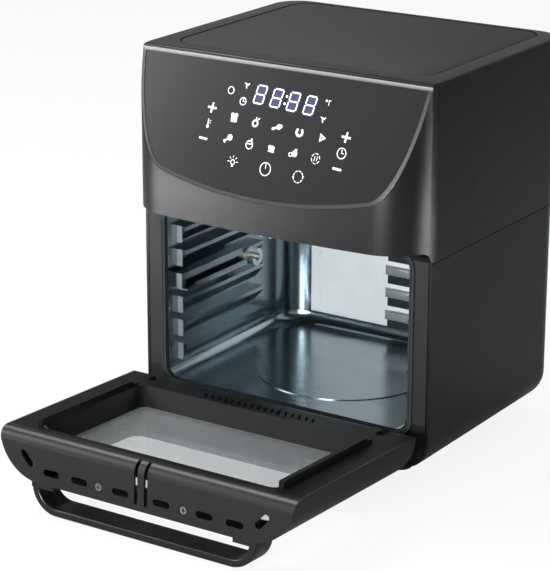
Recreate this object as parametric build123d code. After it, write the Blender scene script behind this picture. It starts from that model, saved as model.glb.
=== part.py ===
# Twelve litre air fryer oven with a drop-down glass door, shown with the door open.
# Millimetres. X runs to the right, Y to the rear, Z up. The origin is on the surface
# the feet stand on, midway between the sides and midway between front and rear of the body.
from build123d import *
from math import atan2, cos, degrees, radians, sin, sqrt
import os

# Body
body_width = 318.0
body_rear = 141.7
front_reach = 149.5
front_bow_radius = 786.0
corner_radius = 30.0
foot_height = 24.0
body_top = 390.0
wall = 3.0
seam_z = 225.0
slope_start_z = 248.0
slope_run = 32.0
side_lean = 6.0
bottom_edge_radius = 28.0
top_edge_radius = 3.0
fit_gap = 0.4
lid_side_margin = 20.0
lid_front_margin = 20.5
lid_rear_margin = 6.7
lid_radius = 24.0
lid_recess = 1.6
lid_sunk = 0.2
frame_gap = 0.8
half_width = body_width / 2
lid_half_width = half_width - lid_side_margin
lid_front = -front_reach + slope_run + lid_front_margin
lid_rear = body_rear - lid_rear_margin
lean_angle = degrees(atan2(slope_run, body_top - slope_start_z))

# Planes that the door, mouth and chamber share
jamb_width = 24.2
jamb_depth = 36.5
rear_space = 36.7
mouth_half_width = half_width - jamb_width
frame_front = jamb_depth - front_reach
chamber_front = frame_front + 2.0
chamber_rear = body_rear - rear_space

# Feet, rear cover, cord inlet and base plate
foot_side_margin = 59.0
foot_front_margin = 51.0
foot_rear_margin = 45.7
foot_x = half_width - foot_side_margin
foot_front_y = frame_front + foot_front_margin
foot_rear_y = body_rear - foot_rear_margin
foot_radius = 14.0
foot_draft = 2.5
foot_boss_radius = 6.0
foot_boss_height = 6.0
foot_screw_radius = 2.0
foot_screw_head_radius = 3.8
foot_recess_radius = 4.2
foot_recess_depth = 12.0
rear_hole_margin = 47.0
rear_hole_half = half_width - rear_hole_margin
rear_hole_low = 84.0
rear_hole_high = 212.0
cover_margin = 8.0
cover_sheet = 1.8
cover_screw_inset = 4.0
cover_screw_radius = 1.4
cover_screw_head_radius = 3.2
cover_louvre_rows = 7
cover_louvre_pitch = 9.0
cover_louvre_half = 30.0
cover_louvre_height = 3.5
cover_louvre_x = 52.0
inlet_side_margin = 75.0
inlet_x = half_width - inlet_side_margin
inlet_z = 63.0
inlet_radius = 7.0
inlet_bore = 3.6
inlet_collar = 2.5
base_hole_half_x = half_width - 77.0
base_hole_front = frame_front + 53.0
base_hole_rear = body_rear - 53.7
base_lap = 8.0
base_slot_half = 14.0
base_slot_width = 4.0
base_slot_pitch = 18.0
base_slot_column = base_hole_half_x - 34.0

# Exhaust grille
vent_half = 62.0
vent_drop = 46.0
vent_height = 48.0
vent_high = body_top - vent_drop
vent_low = vent_high - vent_height
vent_depth = 4.0
vent_border = 6.0
slat_pitch = 6.0

# Door opening and front frame
frame_thickness = 4.0
mouth_bottom = 59.0
mouth_top = 228.0
mouth_radius = 12.0
seal_inner_gap = 1.4
seal_width = 4.6
seal_proud = 1.2
sill_top = 68.0
frame_top = 245.0
joint_gap = 0.3

# Cooking chamber
sheet = 1.2
chamber_corner_radius = 28.0
ceiling_z = 240.0
pan_wall_height = 12.0
pan_bend_radius = 12.0
emboss_radius = 88.0
emboss_height = 0.8
rail_count = 6
rail_first_z = 88.5
rail_pitch = 24.0
rail_depth = 10.5
rail_height = 17.0
rail_nose = 4.0
rail_front = chamber_front + 16.0
rail_rear = chamber_rear - 64.0
louvre_depth = 3.0
louvre_from_x = -16.0
louvre_side_margin = 42.8
louvre_to_x = mouth_half_width - louvre_side_margin

# Rotisserie
spit_y = 12.0
spit_z = 152.5
spit_bore = 4.2
drive_radius = 11.0
drive_square = 8.0
spit_motor_radius = 24.5
spit_motor_length = 15.0

# Lamp and temperature probe
lamp_y = chamber_rear - 45.0
lamp_z = 212.0
lamp_hole_radius = 14.0
lamp_housing_radius = 17.5
lamp_housing_depth = 18.0
bulb_radius = 4.2
sensor_margin = 22.8
sensor_x = mouth_half_width - sensor_margin
sensor_y = chamber_rear - 27.0
sensor_radius = 2.6

# Fan, heater and motor above the chamber
fan_setback = 3.0
fan_y = (chamber_front + chamber_rear) / 2 + fan_setback
opening_side_gap = 42.8
opening_end_gap = 16.0
ceiling_opening = min(mouth_half_width - opening_side_gap, (chamber_rear - chamber_front) / 2 - opening_end_gap)
guard_lap = 7.0
guard_radius = ceiling_opening + guard_lap
guard_rings = 6
guard_slot = 8.0
guard_sheet = 1.0
chamber_roof_z = 274.0
heater_tube = 6.6
heater_edge = 12.0
heater_ring_step = 24.0
heater_outer_radius = ceiling_opening - heater_edge
heater_inner_radius = heater_outer_radius - heater_ring_step
heater_lead_angle = 186.0
heater_turn_angle = 150.0
heater_exit_angle = 204.0
heater_z = 246.0
impeller_gap = 14.0
impeller_radius = ceiling_opening - impeller_gap
impeller_blades = 10
impeller_twist = 38.0
impeller_bottom_z = 253.0
impeller_blade_height = 14.0
shaft_radius = 3.0
cooler_radius = 46.0
cooler_blades = 8
cooler_twist = 30.0
cooler_z = 279.0
bridge_z = 290.0
bridge_sheet = 1.5
bridge_margin = 16.8
bridge_half_x = mouth_half_width - bridge_margin
bridge_half_y = 34.0
board_width = 60.0
board_sheet = 1.6
board_post = 6.0
choke_size = 16.0
transformer_size = 20.0
capacitor_radius = 6.0
capacitor_height = 18.0
motor_stack = 56.0
motor_stack_height = 18.0
motor_gap_above_bridge = 8.0

# Door
door_seal_gap = 1.5
door_proud = 10.5
door_rear = frame_front - door_seal_gap
door_front = -front_reach - door_proud
door_bottom = 31.0
door_top = 235.5
door_corner_radius = 45.0
door_top_rear_radius = 11.0
door_tuck_start = 90.0
door_tuck = 12.0
door_skin = 2.6
door_open_angle = 87.5
hinge_setback = 5.5
hinge_y = -front_reach + hinge_setback
hinge_z = 37.5
pin_radius = 3.0
lug_thickness = 8.0
lug_margin = 6.8
lug_centre_x = mouth_half_width - lug_margin
lug_half_height = 6.0
lug_clearance = 0.4
bracket_sheet = 2.0
bracket_inner = 16.0
bracket_outer = 4.0
bracket_rise = 12.0
bracket_drop = 2.0
window_margin = 12.8
window_half_width = mouth_half_width - window_margin
window_bottom = 78.0
window_top = 203.0
window_radius = 12.0
outer_lap = 3.0
glass_thickness = 3.2
inner_glass_margin = 14.8
inner_glass_half_width = mouth_half_width - inner_glass_margin
inner_glass_bottom = 70.0
inner_glass_top = 212.0
inner_glass_depth = 16.5
inner_glass_rear = door_rear - inner_glass_depth
inner_glass_radius = 8.0
glass_lap = 3.0
glass_gap = 0.3
funnel_low = 61.0
inner_frame_depth = 21.0
ridge_gap = 1.4
ridge_outer_x = mouth_half_width - ridge_gap
ridge_width = 5.0
ridge_height = 6.5
ridge_toe = 3.0
ridge_bottom = 65.0
ridge_top = 212.0

# Slots and screws in the door
air_slot_rows = (22.2, 67.9, 99.7)
air_slot_setback = 12.5
air_slot_y = door_front + air_slot_setback
air_slot_length = 18.0
air_slot_width = 6.6
corner_slot_margin = 31.4
corner_slot_x = half_width - corner_slot_margin
corner_slot_y = door_front + 21.5
corner_slot_turn = 48.0
door_screw_x = 46.2
door_screw_radius = 1.4
door_screw_head_radius = 3.4
intake_slots = 17
intake_pitch = 7.5
intake_width = 2.6
intake_height = 12.0
intake_slant = 24.0

# Handle
handle_margin = 37.0
handle_half_width = half_width - handle_margin
handle_height = 28.0
handle_gap = 20.5
handle_bar = 7.5
handle_outer_radius = 27.0
handle_edge_radius = 2.0

# Control panel
panel_side_margin = 13.0
panel_rise = 26.0
panel_half_width = half_width - panel_side_margin
panel_bottom = slope_start_z + panel_rise
panel_corner_radius = 50.0
panel_thickness = 1.0
panel_recess = 1.6
bezel_width = 3.0
bezel_proud = 0.6
display_drop = 17.0
display_height = 25.0
display_high = body_top - display_drop
display_low = display_high - display_height
display_x = 7.5
display_half_width = 38.0
carrier_side_margin = 60.0
carrier_edge_margin = 10.0
carrier_depth = 15.0

# Door catch and interlock
catch_slot_x = 5.4
catch_slot_width = 3.6
catch_setback = 4.0
catch_length = 16.5
catch_front = -front_reach + catch_setback
catch_rear = catch_front + catch_length
switch_y = frame_front - 8.0
plunger_radius = 1.8

os.makedirs("parts", exist_ok=True)


def block(x0, x1, y0, y1, z0, z1):
    size = Box(abs(x1 - x0), abs(y1 - y0), abs(z1 - z0))
    return Pos((x0 + x1) / 2, (y0 + y1) / 2, (z0 + z1) / 2) * size


def rod(start, end, radius):
    axis = Vector(*end) - Vector(*start)
    return extrude(Plane(start, z_dir=axis) * Circle(radius), axis.length)


def mirrored(shape):
    return [shape, mirror(shape, Plane.YZ)]


def save(name, *shapes):
    solids = [solid for shape in shapes for solid in shape.solids()]
    export_step(Compound(children=solids) if len(solids) > 1 else solids[0], f"parts/{name}.step")


def plan_face(z, inset=0.0, lean=0.0):
    """Body plan: bowed front, rounded corners. lean runs from 0 at the slope's foot to 1 on top."""
    half = half_width - inset - side_lean * lean
    front = -front_reach + inset + slope_run * lean
    bow = front_bow_radius - inset
    edge_y = front + bow - sqrt(bow**2 - half**2)
    rear = body_rear - inset
    outline = ThreePointArc((-half, edge_y), (0, front), (half, edge_y))
    outline += Polyline((half, edge_y), (half, rear), (-half, rear), (-half, edge_y))
    face = Plane.XY.offset(z) * make_face(outline)
    return fillet(face.vertices(), corner_radius - inset)


def upper_solid(inset=0.0):
    """Upper body: straight up to the slope's foot, then leaning in to the top."""
    base_z = seam_z - 1.0
    column = extrude(plan_face(base_z, inset), slope_start_z - base_z)
    slope = loft([plan_face(slope_start_z, inset), plan_face(body_top - inset, inset, 1.0)], ruled=True)
    return column + slope


def side_profile(points):
    """A profile in the YZ plane swept across the whole width."""
    face = Plane.YZ * make_face(points)
    return extrude(face, half_width + 10, both=True)


def door_recess(inset=0.0, rear=frame_front):
    """The space the closed door's top takes out of the upper body."""
    top = door_top + 1.0 + inset
    radius = door_top_rear_radius + inset
    centre_y = door_rear + 1.5 - door_top_rear_radius
    far = -front_reach - 60
    line = Polyline((far, top), (far, 0), (centre_y + radius, 0), (centre_y + radius, top - radius))
    line += CenterArc((centre_y, top - radius), radius, 0, 90)
    line += Line((centre_y, top), (far, top))
    limit = block(-half_width - 20, half_width + 20, far - 10, rear, 0, body_top)
    return side_profile(line) & limit


def panel_prism(shrink=0.0):
    """The U-shaped outline of the control panel, run through the sloping front."""
    half = panel_half_width - shrink
    radius = panel_corner_radius - shrink
    bottom = panel_bottom + shrink
    face = Rectangle(2 * half, 2 * (body_top - bottom))
    face = fillet(face.vertices(), radius)
    prism = extrude(Plane.XZ * Pos(0, body_top) * face, front_reach + 20)
    return prism & block(-half_width, half_width, -front_reach - 30, 0, 0, body_top - 3.0 - shrink)


def lid_face():
    """Outline of the flat lid let into the top, bowed in front like the body."""
    bow = front_bow_radius
    edge_y = lid_front + bow - sqrt(bow**2 - lid_half_width**2)
    outline = ThreePointArc((-lid_half_width, edge_y), (0, lid_front), (lid_half_width, edge_y))
    outline += Polyline((lid_half_width, edge_y), (lid_half_width, lid_rear), (-lid_half_width, lid_rear),
                        (-lid_half_width, edge_y))
    face = Plane.XY.offset(body_top) * make_face(outline)
    return fillet(face.vertices(), lid_radius)


def build_upper_body():
    outer = upper_solid()
    outer = fillet(outer.faces().sort_by(Axis.Z)[-1].edges(), top_edge_radius)
    chin_top = door_top + 1.0 + wall
    chin = block(-half_width, half_width, -front_reach - 5, frame_front - 0.2, seam_z - 2, chin_top)
    hollow = upper_solid(wall) - chin
    housing = outer - hollow - door_recess()
    housing -= block(-half_width - 5, half_width + 5, -front_reach - 5, body_rear + 5, seam_z - 5, seam_z)
    seal_room = mouth_face(seal_inner_gap + seal_width + 0.3, frame_front - seal_proud - 0.4)
    housing -= extrude(seal_room, -(seal_proud + 1.0))
    recess_shape = panel_prism() & (upper_solid(-2.0) - upper_solid(panel_recess))
    housing -= recess_shape
    for side in (-1, 1):
        x = side * catch_slot_x
        housing -= block(x - 1.6, x + 1.6, catch_front + 0.6, catch_rear + 0.4, door_top - 2, chin_top + 1)
    housing -= rod((0, switch_y, door_top - 2), (0, switch_y, door_top + wall + 3), plunger_radius + 0.3)
    housing -= block(-vent_half, vent_half, body_rear - 6, body_rear + 3, vent_low, vent_high)
    recess_face = lid_face()
    housing -= extrude(recess_face, -lid_recess)
    lid = Pos(0, 0, -lid_sunk) * extrude(offset(recess_face, -fit_gap), -(lid_recess - lid_sunk))
    save("upper_housing", housing)
    save("top_plate", lid)

    bezel_layer = upper_solid(-bezel_proud) - upper_solid(panel_recess)
    bezel = (panel_prism(fit_gap) - panel_prism(bezel_width)) & bezel_layer
    panel_layer = upper_solid(panel_recess - panel_thickness) - upper_solid(panel_recess)
    panel = panel_prism(bezel_width + 0.2) & panel_layer
    save("panel_bezel", bezel)
    save("control_panel", panel)

    grille = block(-vent_half + joint_gap, vent_half - joint_gap, body_rear - vent_depth, body_rear,
                   vent_low + joint_gap, vent_high - joint_gap)
    slats = int((vent_high - vent_low - 2 * vent_border) / slat_pitch + 0.5)
    for row in range(slats):
        z = vent_low + vent_border + row * slat_pitch
        grille -= block(-vent_half + vent_border, vent_half - vent_border, body_rear - vent_depth - 2,
                        body_rear + 2, z, z + slat_pitch / 2)
    save("exhaust_grille", grille)


def mouth_face(grow, y):
    """Outline of the chamber's mouth, grown by a margin, on a plane facing the front."""
    half = mouth_half_width + grow
    low, high = mouth_bottom - grow, mouth_top + grow
    face = Pos(0, (low + high) / 2) * Rectangle(2 * half, high - low)
    face = fillet(face.vertices(), mouth_radius + grow)
    return Plane((0, y, 0), x_dir=(1, 0, 0), z_dir=(0, -1, 0)) * face


def lower_solid(inset=0.0):
    """Lower body block with its large bottom rounding, open towards the door."""
    bottom = foot_height + inset
    half, rear, front = half_width - inset, body_rear - inset, frame_front - 60.0
    plan = Pos(0, (rear + front) / 2, bottom) * Rectangle(2 * half, rear - front)
    plan = fillet(plan.vertices().sort_by(Axis.Y)[-2:], corner_radius - inset)
    block_shape = extrude(plan, seam_z - bottom)
    rim = block_shape.faces().sort_by(Axis.Z)[0].edges().sort_by(Axis.Y)[1:]
    block_shape = fillet(rim, bottom_edge_radius - inset)
    return block_shape & block(-half_width, half_width, frame_front, body_rear, 0, seam_z)


foot_places = [(x, y) for x in (-foot_x, foot_x) for y in (foot_front_y, foot_rear_y)]
cover_screw_rows = (rear_hole_low + 8.0, (rear_hole_low + rear_hole_high) / 2, rear_hole_high - 8.0)
cover_screw_columns = (-rear_hole_half - cover_screw_inset, rear_hole_half + cover_screw_inset)
cover_screws = [(x, z) for x in cover_screw_columns for z in cover_screw_rows]


def build_lower_body():
    housing = lower_solid() - lower_solid(wall)
    housing -= block(-rear_hole_half, rear_hole_half, body_rear - wall - 1, body_rear + 1,
                     rear_hole_low, rear_hole_high)
    housing -= block(-base_hole_half_x, base_hole_half_x, base_hole_front, base_hole_rear,
                     foot_height - 1, foot_height + wall + 1)
    for x, y in foot_places:
        boss = Cylinder(foot_boss_radius, foot_boss_height)
        housing += Pos(x, y, foot_height + wall + foot_boss_height / 2) * boss
    for x, y in foot_places:
        housing -= Pos(x, y, foot_height) * Cylinder(foot_screw_radius, 2 * (wall + foot_boss_height) + 2)
    for x, z in cover_screws:
        housing -= rod((x, body_rear - wall - 1, z), (x, body_rear + 1, z), cover_screw_radius + 0.1)
    housing -= rod((inlet_x, body_rear - wall - 1, inlet_z), (inlet_x, body_rear + 1, inlet_z), inlet_radius)
    save("lower_housing", housing)

    cover_face = Pos(0, (rear_hole_low + rear_hole_high) / 2) * Rectangle(
        2 * (rear_hole_half + cover_margin), rear_hole_high - rear_hole_low + 2 * cover_margin)
    cover_face = fillet(cover_face.vertices(), 8.0)
    cover_plane = Plane((0, body_rear, 0), x_dir=(1, 0, 0), z_dir=(0, -1, 0))
    cover = extrude(cover_plane * cover_face, -cover_sheet)
    louvre_span = cover_louvre_rows * cover_louvre_pitch
    for side in (-1, 1):
        for row in range(cover_louvre_rows):
            z = rear_hole_high - louvre_span + row * cover_louvre_pitch
            x = side * cover_louvre_x
            cover -= block(x - cover_louvre_half, x + cover_louvre_half, body_rear - 1,
                           body_rear + cover_sheet + 1, z, z + cover_louvre_height)
    for x, z in cover_screws:
        cover -= rod((x, body_rear - 1, z), (x, body_rear + cover_sheet + 1, z), cover_screw_radius + 0.2)
    save("rear_cover", cover)

    screws = []
    for x, z in cover_screws:
        face_y = body_rear + cover_sheet
        head = rod((x, face_y, z), (x, face_y + 2, z), cover_screw_head_radius)
        shank = rod((x, body_rear - wall - 4, z), (x, face_y, z), cover_screw_radius)
        screws.append(head + shank)
    save("rear_screws", *screws)

    base = block(-base_hole_half_x - base_lap, base_hole_half_x + base_lap, base_hole_front - base_lap,
                 base_hole_rear + base_lap, foot_height + wall, foot_height + wall + sheet)
    base_slot_rows = int((base_hole_rear - base_hole_front - base_slot_width) / base_slot_pitch) - 1
    slot_span = (base_slot_rows - 1) * base_slot_pitch + base_slot_width
    first_y = (base_hole_front + base_hole_rear - slot_span) / 2
    for column in (-1, 0, 1):
        for row in range(base_slot_rows):
            y = first_y + row * base_slot_pitch
            x = column * base_slot_column
            base -= block(x - base_slot_half, x + base_slot_half, y, y + base_slot_width,
                          foot_height, foot_height + wall + sheet + 1)
    save("base_plate", base)

    feet, foot_screws = [], []
    for x, y in foot_places:
        foot = Pos(x, y, foot_height / 2) * Cone(foot_radius - foot_draft, foot_radius, foot_height)
        foot -= rod((x, y, -1), (x, y, foot_recess_depth), foot_recess_radius)
        foot -= rod((x, y, 0), (x, y, foot_height + 1), foot_screw_radius + 0.3)
        feet.append(foot)
        head = rod((x, y, foot_recess_depth - 3), (x, y, foot_recess_depth), foot_screw_head_radius)
        shank = rod((x, y, foot_recess_depth), (x, y, foot_height + wall + 2), foot_screw_radius - 0.2)
        foot_screws.append(head + shank)
    save("feet", *feet)
    save("foot_screws", *foot_screws)

    gland = rod((inlet_x, body_rear - wall - 6, inlet_z), (inlet_x, body_rear, inlet_z), inlet_radius - 0.2)
    collar_radius = inlet_radius + inlet_collar
    gland += rod((inlet_x, body_rear, inlet_z), (inlet_x, body_rear + 5, inlet_z), collar_radius)
    gland += rod((inlet_x, body_rear - wall - 4, inlet_z), (inlet_x, body_rear - wall - 0.2, inlet_z),
                 inlet_radius + 1.5)
    gland -= rod((inlet_x, body_rear - 20, inlet_z), (inlet_x, body_rear + 10, inlet_z), inlet_bore)
    save("cord_inlet", gland)


def build_front_frame():
    inner_half = half_width - wall - frame_gap
    bottom = foot_height + wall + frame_gap
    outline = Pos(0, (bottom + frame_top) / 2) * Rectangle(2 * inner_half, frame_top - bottom)
    low_corners = outline.vertices().sort_by(Axis.Y)[:2]
    outline = fillet(low_corners, bottom_edge_radius - wall - frame_gap)
    plate = extrude(Plane((0, frame_front, 0), x_dir=(1, 0, 0), z_dir=(0, -1, 0)) * outline, -frame_thickness)
    seal_outer = seal_inner_gap + seal_width
    ring = plate - extrude(mouth_face(seal_outer + 0.2, frame_front - 2), -(frame_thickness + 4))
    below = block(-half_width, half_width, frame_front - 5, frame_front + 10, 0, sill_top)
    above = block(-half_width, half_width, frame_front - 5, frame_front + 10, sill_top + joint_gap, body_top)
    sill = ring & below
    for side in (-1, 1):
        x = side * lug_centre_x
        half = lug_thickness / 2 + lug_clearance
        sill -= block(x - half, x + half, frame_front - 2, frame_front + 10, hinge_z - 7, hinge_z + 7)
    save("front_frame", ring & above)
    save("front_sill", sill)

    seal = extrude(mouth_face(seal_outer, frame_front - seal_proud), -(frame_thickness + seal_proud))
    seal -= extrude(mouth_face(seal_inner_gap, frame_front - 5), -20)
    groove = extrude(mouth_face(seal_outer - 1.4, frame_front - seal_proud), -0.6)
    groove -= extrude(mouth_face(seal_inner_gap + 1.4, frame_front - seal_proud - 1), -3)
    save("mouth_seal", seal - groove)


def wall_sheet(gap=0.0):
    """Plan of the chamber's rounded side wall on the left, as a thin bent sheet."""
    inner, outer = mouth_half_width + gap, mouth_half_width + gap + sheet
    radius = chamber_corner_radius
    centre_x, centre_y = -(inner - radius), chamber_rear - radius
    edge = Polyline((-outer, chamber_front), (-inner, chamber_front), (-inner, centre_y))
    edge += CenterArc((centre_x, centre_y), radius, 180, -90)
    edge += Polyline((centre_x, chamber_rear), (centre_x, chamber_rear + sheet))
    edge += CenterArc((centre_x, centre_y), radius + sheet, 90, 90)
    edge += Line((-outer, centre_y), (-outer, chamber_front))
    return make_face(edge)


def rail_profile(ledge_z, inset=0.0):
    """A pressed rail: flat ledge on top, nose, and an underside that slants back to the wall."""
    start = -mouth_half_width - (0.6 if inset == 0 else 2.0)
    tip = -mouth_half_width + rail_depth - inset
    top = ledge_z - inset
    nose = ledge_z - rail_nose
    foot = ledge_z - rail_height + inset * 1.6
    return Polyline((start, top), (tip, top), (tip, nose), (start, foot), (start, top))


def mouth_trim():
    """What a chamber sheet must leave clear so that its front edge stands in the mouth."""
    front, rear = chamber_front - 1.0, frame_front + frame_thickness + 0.2
    slab = block(-half_width, half_width, front, rear, 0, ceiling_z + 2)
    return slab - extrude(mouth_face(sheet + 0.05, front - 1), -(rear - front + 2))


def chamber_side_wall(cut_for_drive):
    low, high = mouth_bottom - sheet, ceiling_z - sheet - 0.2
    side = extrude(Pos(0, 0, low) * wall_sheet(), high - low)
    front_plane = Plane((0, rail_front, 0), x_dir=(1, 0, 0), z_dir=(0, -1, 0))
    rails, hollows = [], []
    for index in range(rail_count):
        ledge = rail_first_z + index * rail_pitch
        solid = extrude(front_plane * make_face(rail_profile(ledge)), -(rail_rear - rail_front))
        hollow_plane = front_plane.offset(-sheet)
        hollow_face = hollow_plane * make_face(rail_profile(ledge, sheet))
        hollow = extrude(hollow_face, -(rail_rear - rail_front - 2 * sheet))
        rails.append(solid)
        hollows.append(hollow)
    for rail in rails:
        side += rail
    for hollow in hollows:
        side -= hollow
    side -= mouth_trim()
    if cut_for_drive:
        pocket = rod((-mouth_half_width, spit_y, spit_z), (0, spit_y, spit_z), drive_radius + 5)
        side -= pocket
        side -= rod((-mouth_half_width - 5, spit_y, spit_z), (0, spit_y, spit_z), 5.4)
        side -= rod((-mouth_half_width - 5, lamp_y, lamp_z), (0, lamp_y, lamp_z), lamp_hole_radius)
    return side


def build_chamber():
    save("chamber_left_wall", chamber_side_wall(False))
    save("chamber_right_wall", mirror(chamber_side_wall(True), Plane.YZ))

    back_half = mouth_half_width - chamber_corner_radius - 0.1
    back = block(-back_half, back_half, chamber_rear, chamber_rear + sheet,
                 mouth_bottom - sheet, ceiling_z - sheet - 0.2)
    for index in range(rail_count):
        ledge = rail_first_z + index * rail_pitch
        root, tip = chamber_rear + 0.1, chamber_rear - louvre_depth
        louvre = Plane.YZ * make_face(Polyline(
            (root, ledge), (tip, ledge - 2.5), (tip, ledge - 7), (root, ledge - 10), (root, ledge)))
        back += Pos(louvre_from_x, 0, 0) * extrude(louvre, louvre_to_x - louvre_from_x)
    save("chamber_back_wall", back)

    half, rear = mouth_half_width - 0.2, chamber_rear - 0.4
    low = mouth_bottom - sheet
    outer = pan_solid(half, rear, low, pan_bend_radius, chamber_corner_radius)
    inner = pan_solid(half - sheet, rear - sheet, mouth_bottom, pan_bend_radius - sheet,
                      chamber_corner_radius - sheet)
    pan = outer - inner
    disc = Pos(0, 0, mouth_bottom + emboss_height / 2) * Cylinder(emboss_radius, emboss_height)
    save("chamber_floor", (pan + disc) - mouth_trim())

    corner = chamber_corner_radius
    plate = Rectangle(2 * (mouth_half_width - 0.2), chamber_rear - chamber_front - 0.4)
    plate = fillet(plate.vertices().sort_by(Axis.Y)[-2:], corner)
    mid_y = (chamber_rear + chamber_front - 0.4) / 2
    ceiling = extrude(Pos(0, mid_y, ceiling_z - sheet) * plate, sheet)
    ceiling -= Pos(0, fan_y, ceiling_z) * Cylinder(ceiling_opening, 10.0)
    lip_half, lip_rear = mouth_half_width - 0.2, frame_front + frame_thickness + 0.2 + sheet
    lip = block(-lip_half, lip_half, chamber_front, lip_rear, mouth_top, mouth_top + sheet)
    lip += block(-lip_half, lip_half, lip_rear - sheet, lip_rear, mouth_top, ceiling_z - sheet)
    ceiling = ceiling + (lip - mouth_trim())
    ceiling -= block(-lip_half - 1, lip_half + 1, chamber_front - 1, lip_rear - sheet,
                     mouth_top + sheet, ceiling_z + 1)
    sensor_hole = sensor_radius + 0.6
    ceiling -= rod((sensor_x, sensor_y, ceiling_z - 5), (sensor_x, sensor_y, ceiling_z + 5), sensor_hole)
    save("chamber_ceiling", ceiling)

    guard = Pos(0, fan_y, ceiling_z - sheet - guard_sheet / 2) * Cylinder(guard_radius, guard_sheet)
    ring_step = (guard_radius - guard_slot) / (guard_rings + 1)
    for ring in range(1, guard_rings + 1):
        middle = ring * ring_step + 5.0
        slot = Cylinder(middle + guard_slot / 2, 4.0) - Cylinder(middle - guard_slot / 2, 4.0)
        for spoke in range(3):
            slot -= Rot(0, 0, spoke * 60.0) * Box(2 * guard_radius, 7.0, 6.0)
        guard -= Pos(0, fan_y, ceiling_z - sheet - guard_sheet / 2) * slot
    save("heater_guard", guard)


def pan_solid(half, rear, low, bend, corner):
    """A floor block with rounded rear corners and rounded bottom edges, cut flat at the front."""
    front = chamber_front
    face = Pos(0, (rear + front - 60) / 2) * Rectangle(2 * half, rear - front + 60)
    face = fillet(face.vertices().sort_by(Axis.Y)[-2:], corner)
    solid = extrude(Pos(0, 0, low) * face, pan_wall_height + mouth_bottom - low)
    rim = solid.faces().sort_by(Axis.Z)[0].edges().sort_by(Axis.Y)[1:]
    solid = fillet(rim, bend)
    return solid & block(-half - 1, half + 1, front, rear + 1, low - 1, mouth_bottom + pan_wall_height)


def spinning_blades(count, outer, inner, height, twist, thickness, z):
    """Curved blades standing on a disc, all inside one radius."""
    blades = []
    for index in range(count):
        start = Vector(inner, 0)
        end = Vector(outer * cos(radians(twist)), outer * sin(radians(twist)))
        middle = (start + end) * 0.5 + Vector(-0.12 * outer * sin(radians(twist)), -0.10 * outer)
        spine = ThreePointArc(start, middle, end)
        face = trace(spine, thickness)
        blade = Pos(0, fan_y, z) * Rot(0, 0, index * 360 / count) * extrude(face, height)
        blades.append(blade)
    return blades


def build_fan_group():
    roof = chamber_roof_z
    drum = Cylinder(ceiling_opening + 8, roof - ceiling_z) - Pos(0, 0, -sheet) * Cylinder(
        ceiling_opening + 8 - sheet, roof - ceiling_z)
    flange = Cylinder(ceiling_opening + 16, sheet) - Cylinder(ceiling_opening + 8 - sheet, sheet)
    shroud = Pos(0, fan_y, (roof + ceiling_z) / 2) * drum + Pos(0, fan_y, ceiling_z + sheet / 2) * flange
    shroud -= Pos(0, fan_y, roof) * Cylinder(shaft_radius + 2.5, 10)
    heater, lead_rows = build_heater()
    for y in lead_rows:
        lead_start, lead_end = -ceiling_opening - 20, -ceiling_opening + 12
        shroud -= rod((lead_start, fan_y + y, heater_z), (lead_end, fan_y + y, heater_z), heater_tube / 2 + 0.4)
    save("fan_shroud", shroud)
    save("heater_element", heater)

    clips = []
    for angle in (30.0, 270.0):
        inner, outer = heater_inner_radius - 6, ceiling_opening + 8 - sheet - 0.2
        clip_top = heater_z - heater_tube / 2
        clip = block(inner, outer, -4, 4, clip_top - sheet, clip_top)
        clip += block(ceiling_opening + 1, outer, -4, 4, ceiling_z, clip_top)
        clips.append(Pos(0, fan_y, 0) * Rot(0, 0, angle) * clip)
    save("heater_clips", *clips)

    disc = Pos(0, fan_y, impeller_bottom_z + impeller_blade_height + 0.6) * Cylinder(impeller_radius, sheet)
    hub = Pos(0, fan_y, impeller_bottom_z + impeller_blade_height - 3) * Cylinder(8.0, 10.0)
    impeller = disc + hub
    blade_height = impeller_blade_height + 0.3
    for blade in spinning_blades(impeller_blades, impeller_radius, 24.0, blade_height, impeller_twist, 1.4,
                                 impeller_bottom_z):
        impeller += blade
    impeller -= Pos(0, fan_y, impeller_bottom_z + 10) * Cylinder(shaft_radius, 60)
    save("fan_impeller", impeller)

    shaft_low = impeller_bottom_z + impeller_blade_height - 10
    shaft_high = bridge_z + bridge_sheet + motor_gap_above_bridge + motor_stack_height + 16
    save("motor_shaft", rod((0, fan_y, shaft_low), (0, fan_y, shaft_high), shaft_radius))
    nut_z = impeller_bottom_z + impeller_blade_height - 10.5
    nut = Pos(0, fan_y, nut_z) * extrude(RegularPolygon(6.0, 6), 2.5, both=True)
    nut -= Pos(0, fan_y, impeller_bottom_z) * Cylinder(shaft_radius, 60)
    save("fan_nut", nut)

    cooler = Pos(0, fan_y, cooler_z) * Cylinder(cooler_radius, 1.0)
    cooler += Pos(0, fan_y, cooler_z + 3) * Cylinder(7.0, 7.0)
    for blade in spinning_blades(cooler_blades, cooler_radius, 14.0, 6.0, cooler_twist, 1.2, cooler_z + 0.3):
        cooler += blade
    cooler -= Pos(0, fan_y, cooler_z) * Cylinder(shaft_radius, 60)
    save("cooling_fan", cooler)


def polar(radius, angle):
    return radius * cos(radians(angle)), radius * sin(radians(angle))


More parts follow.
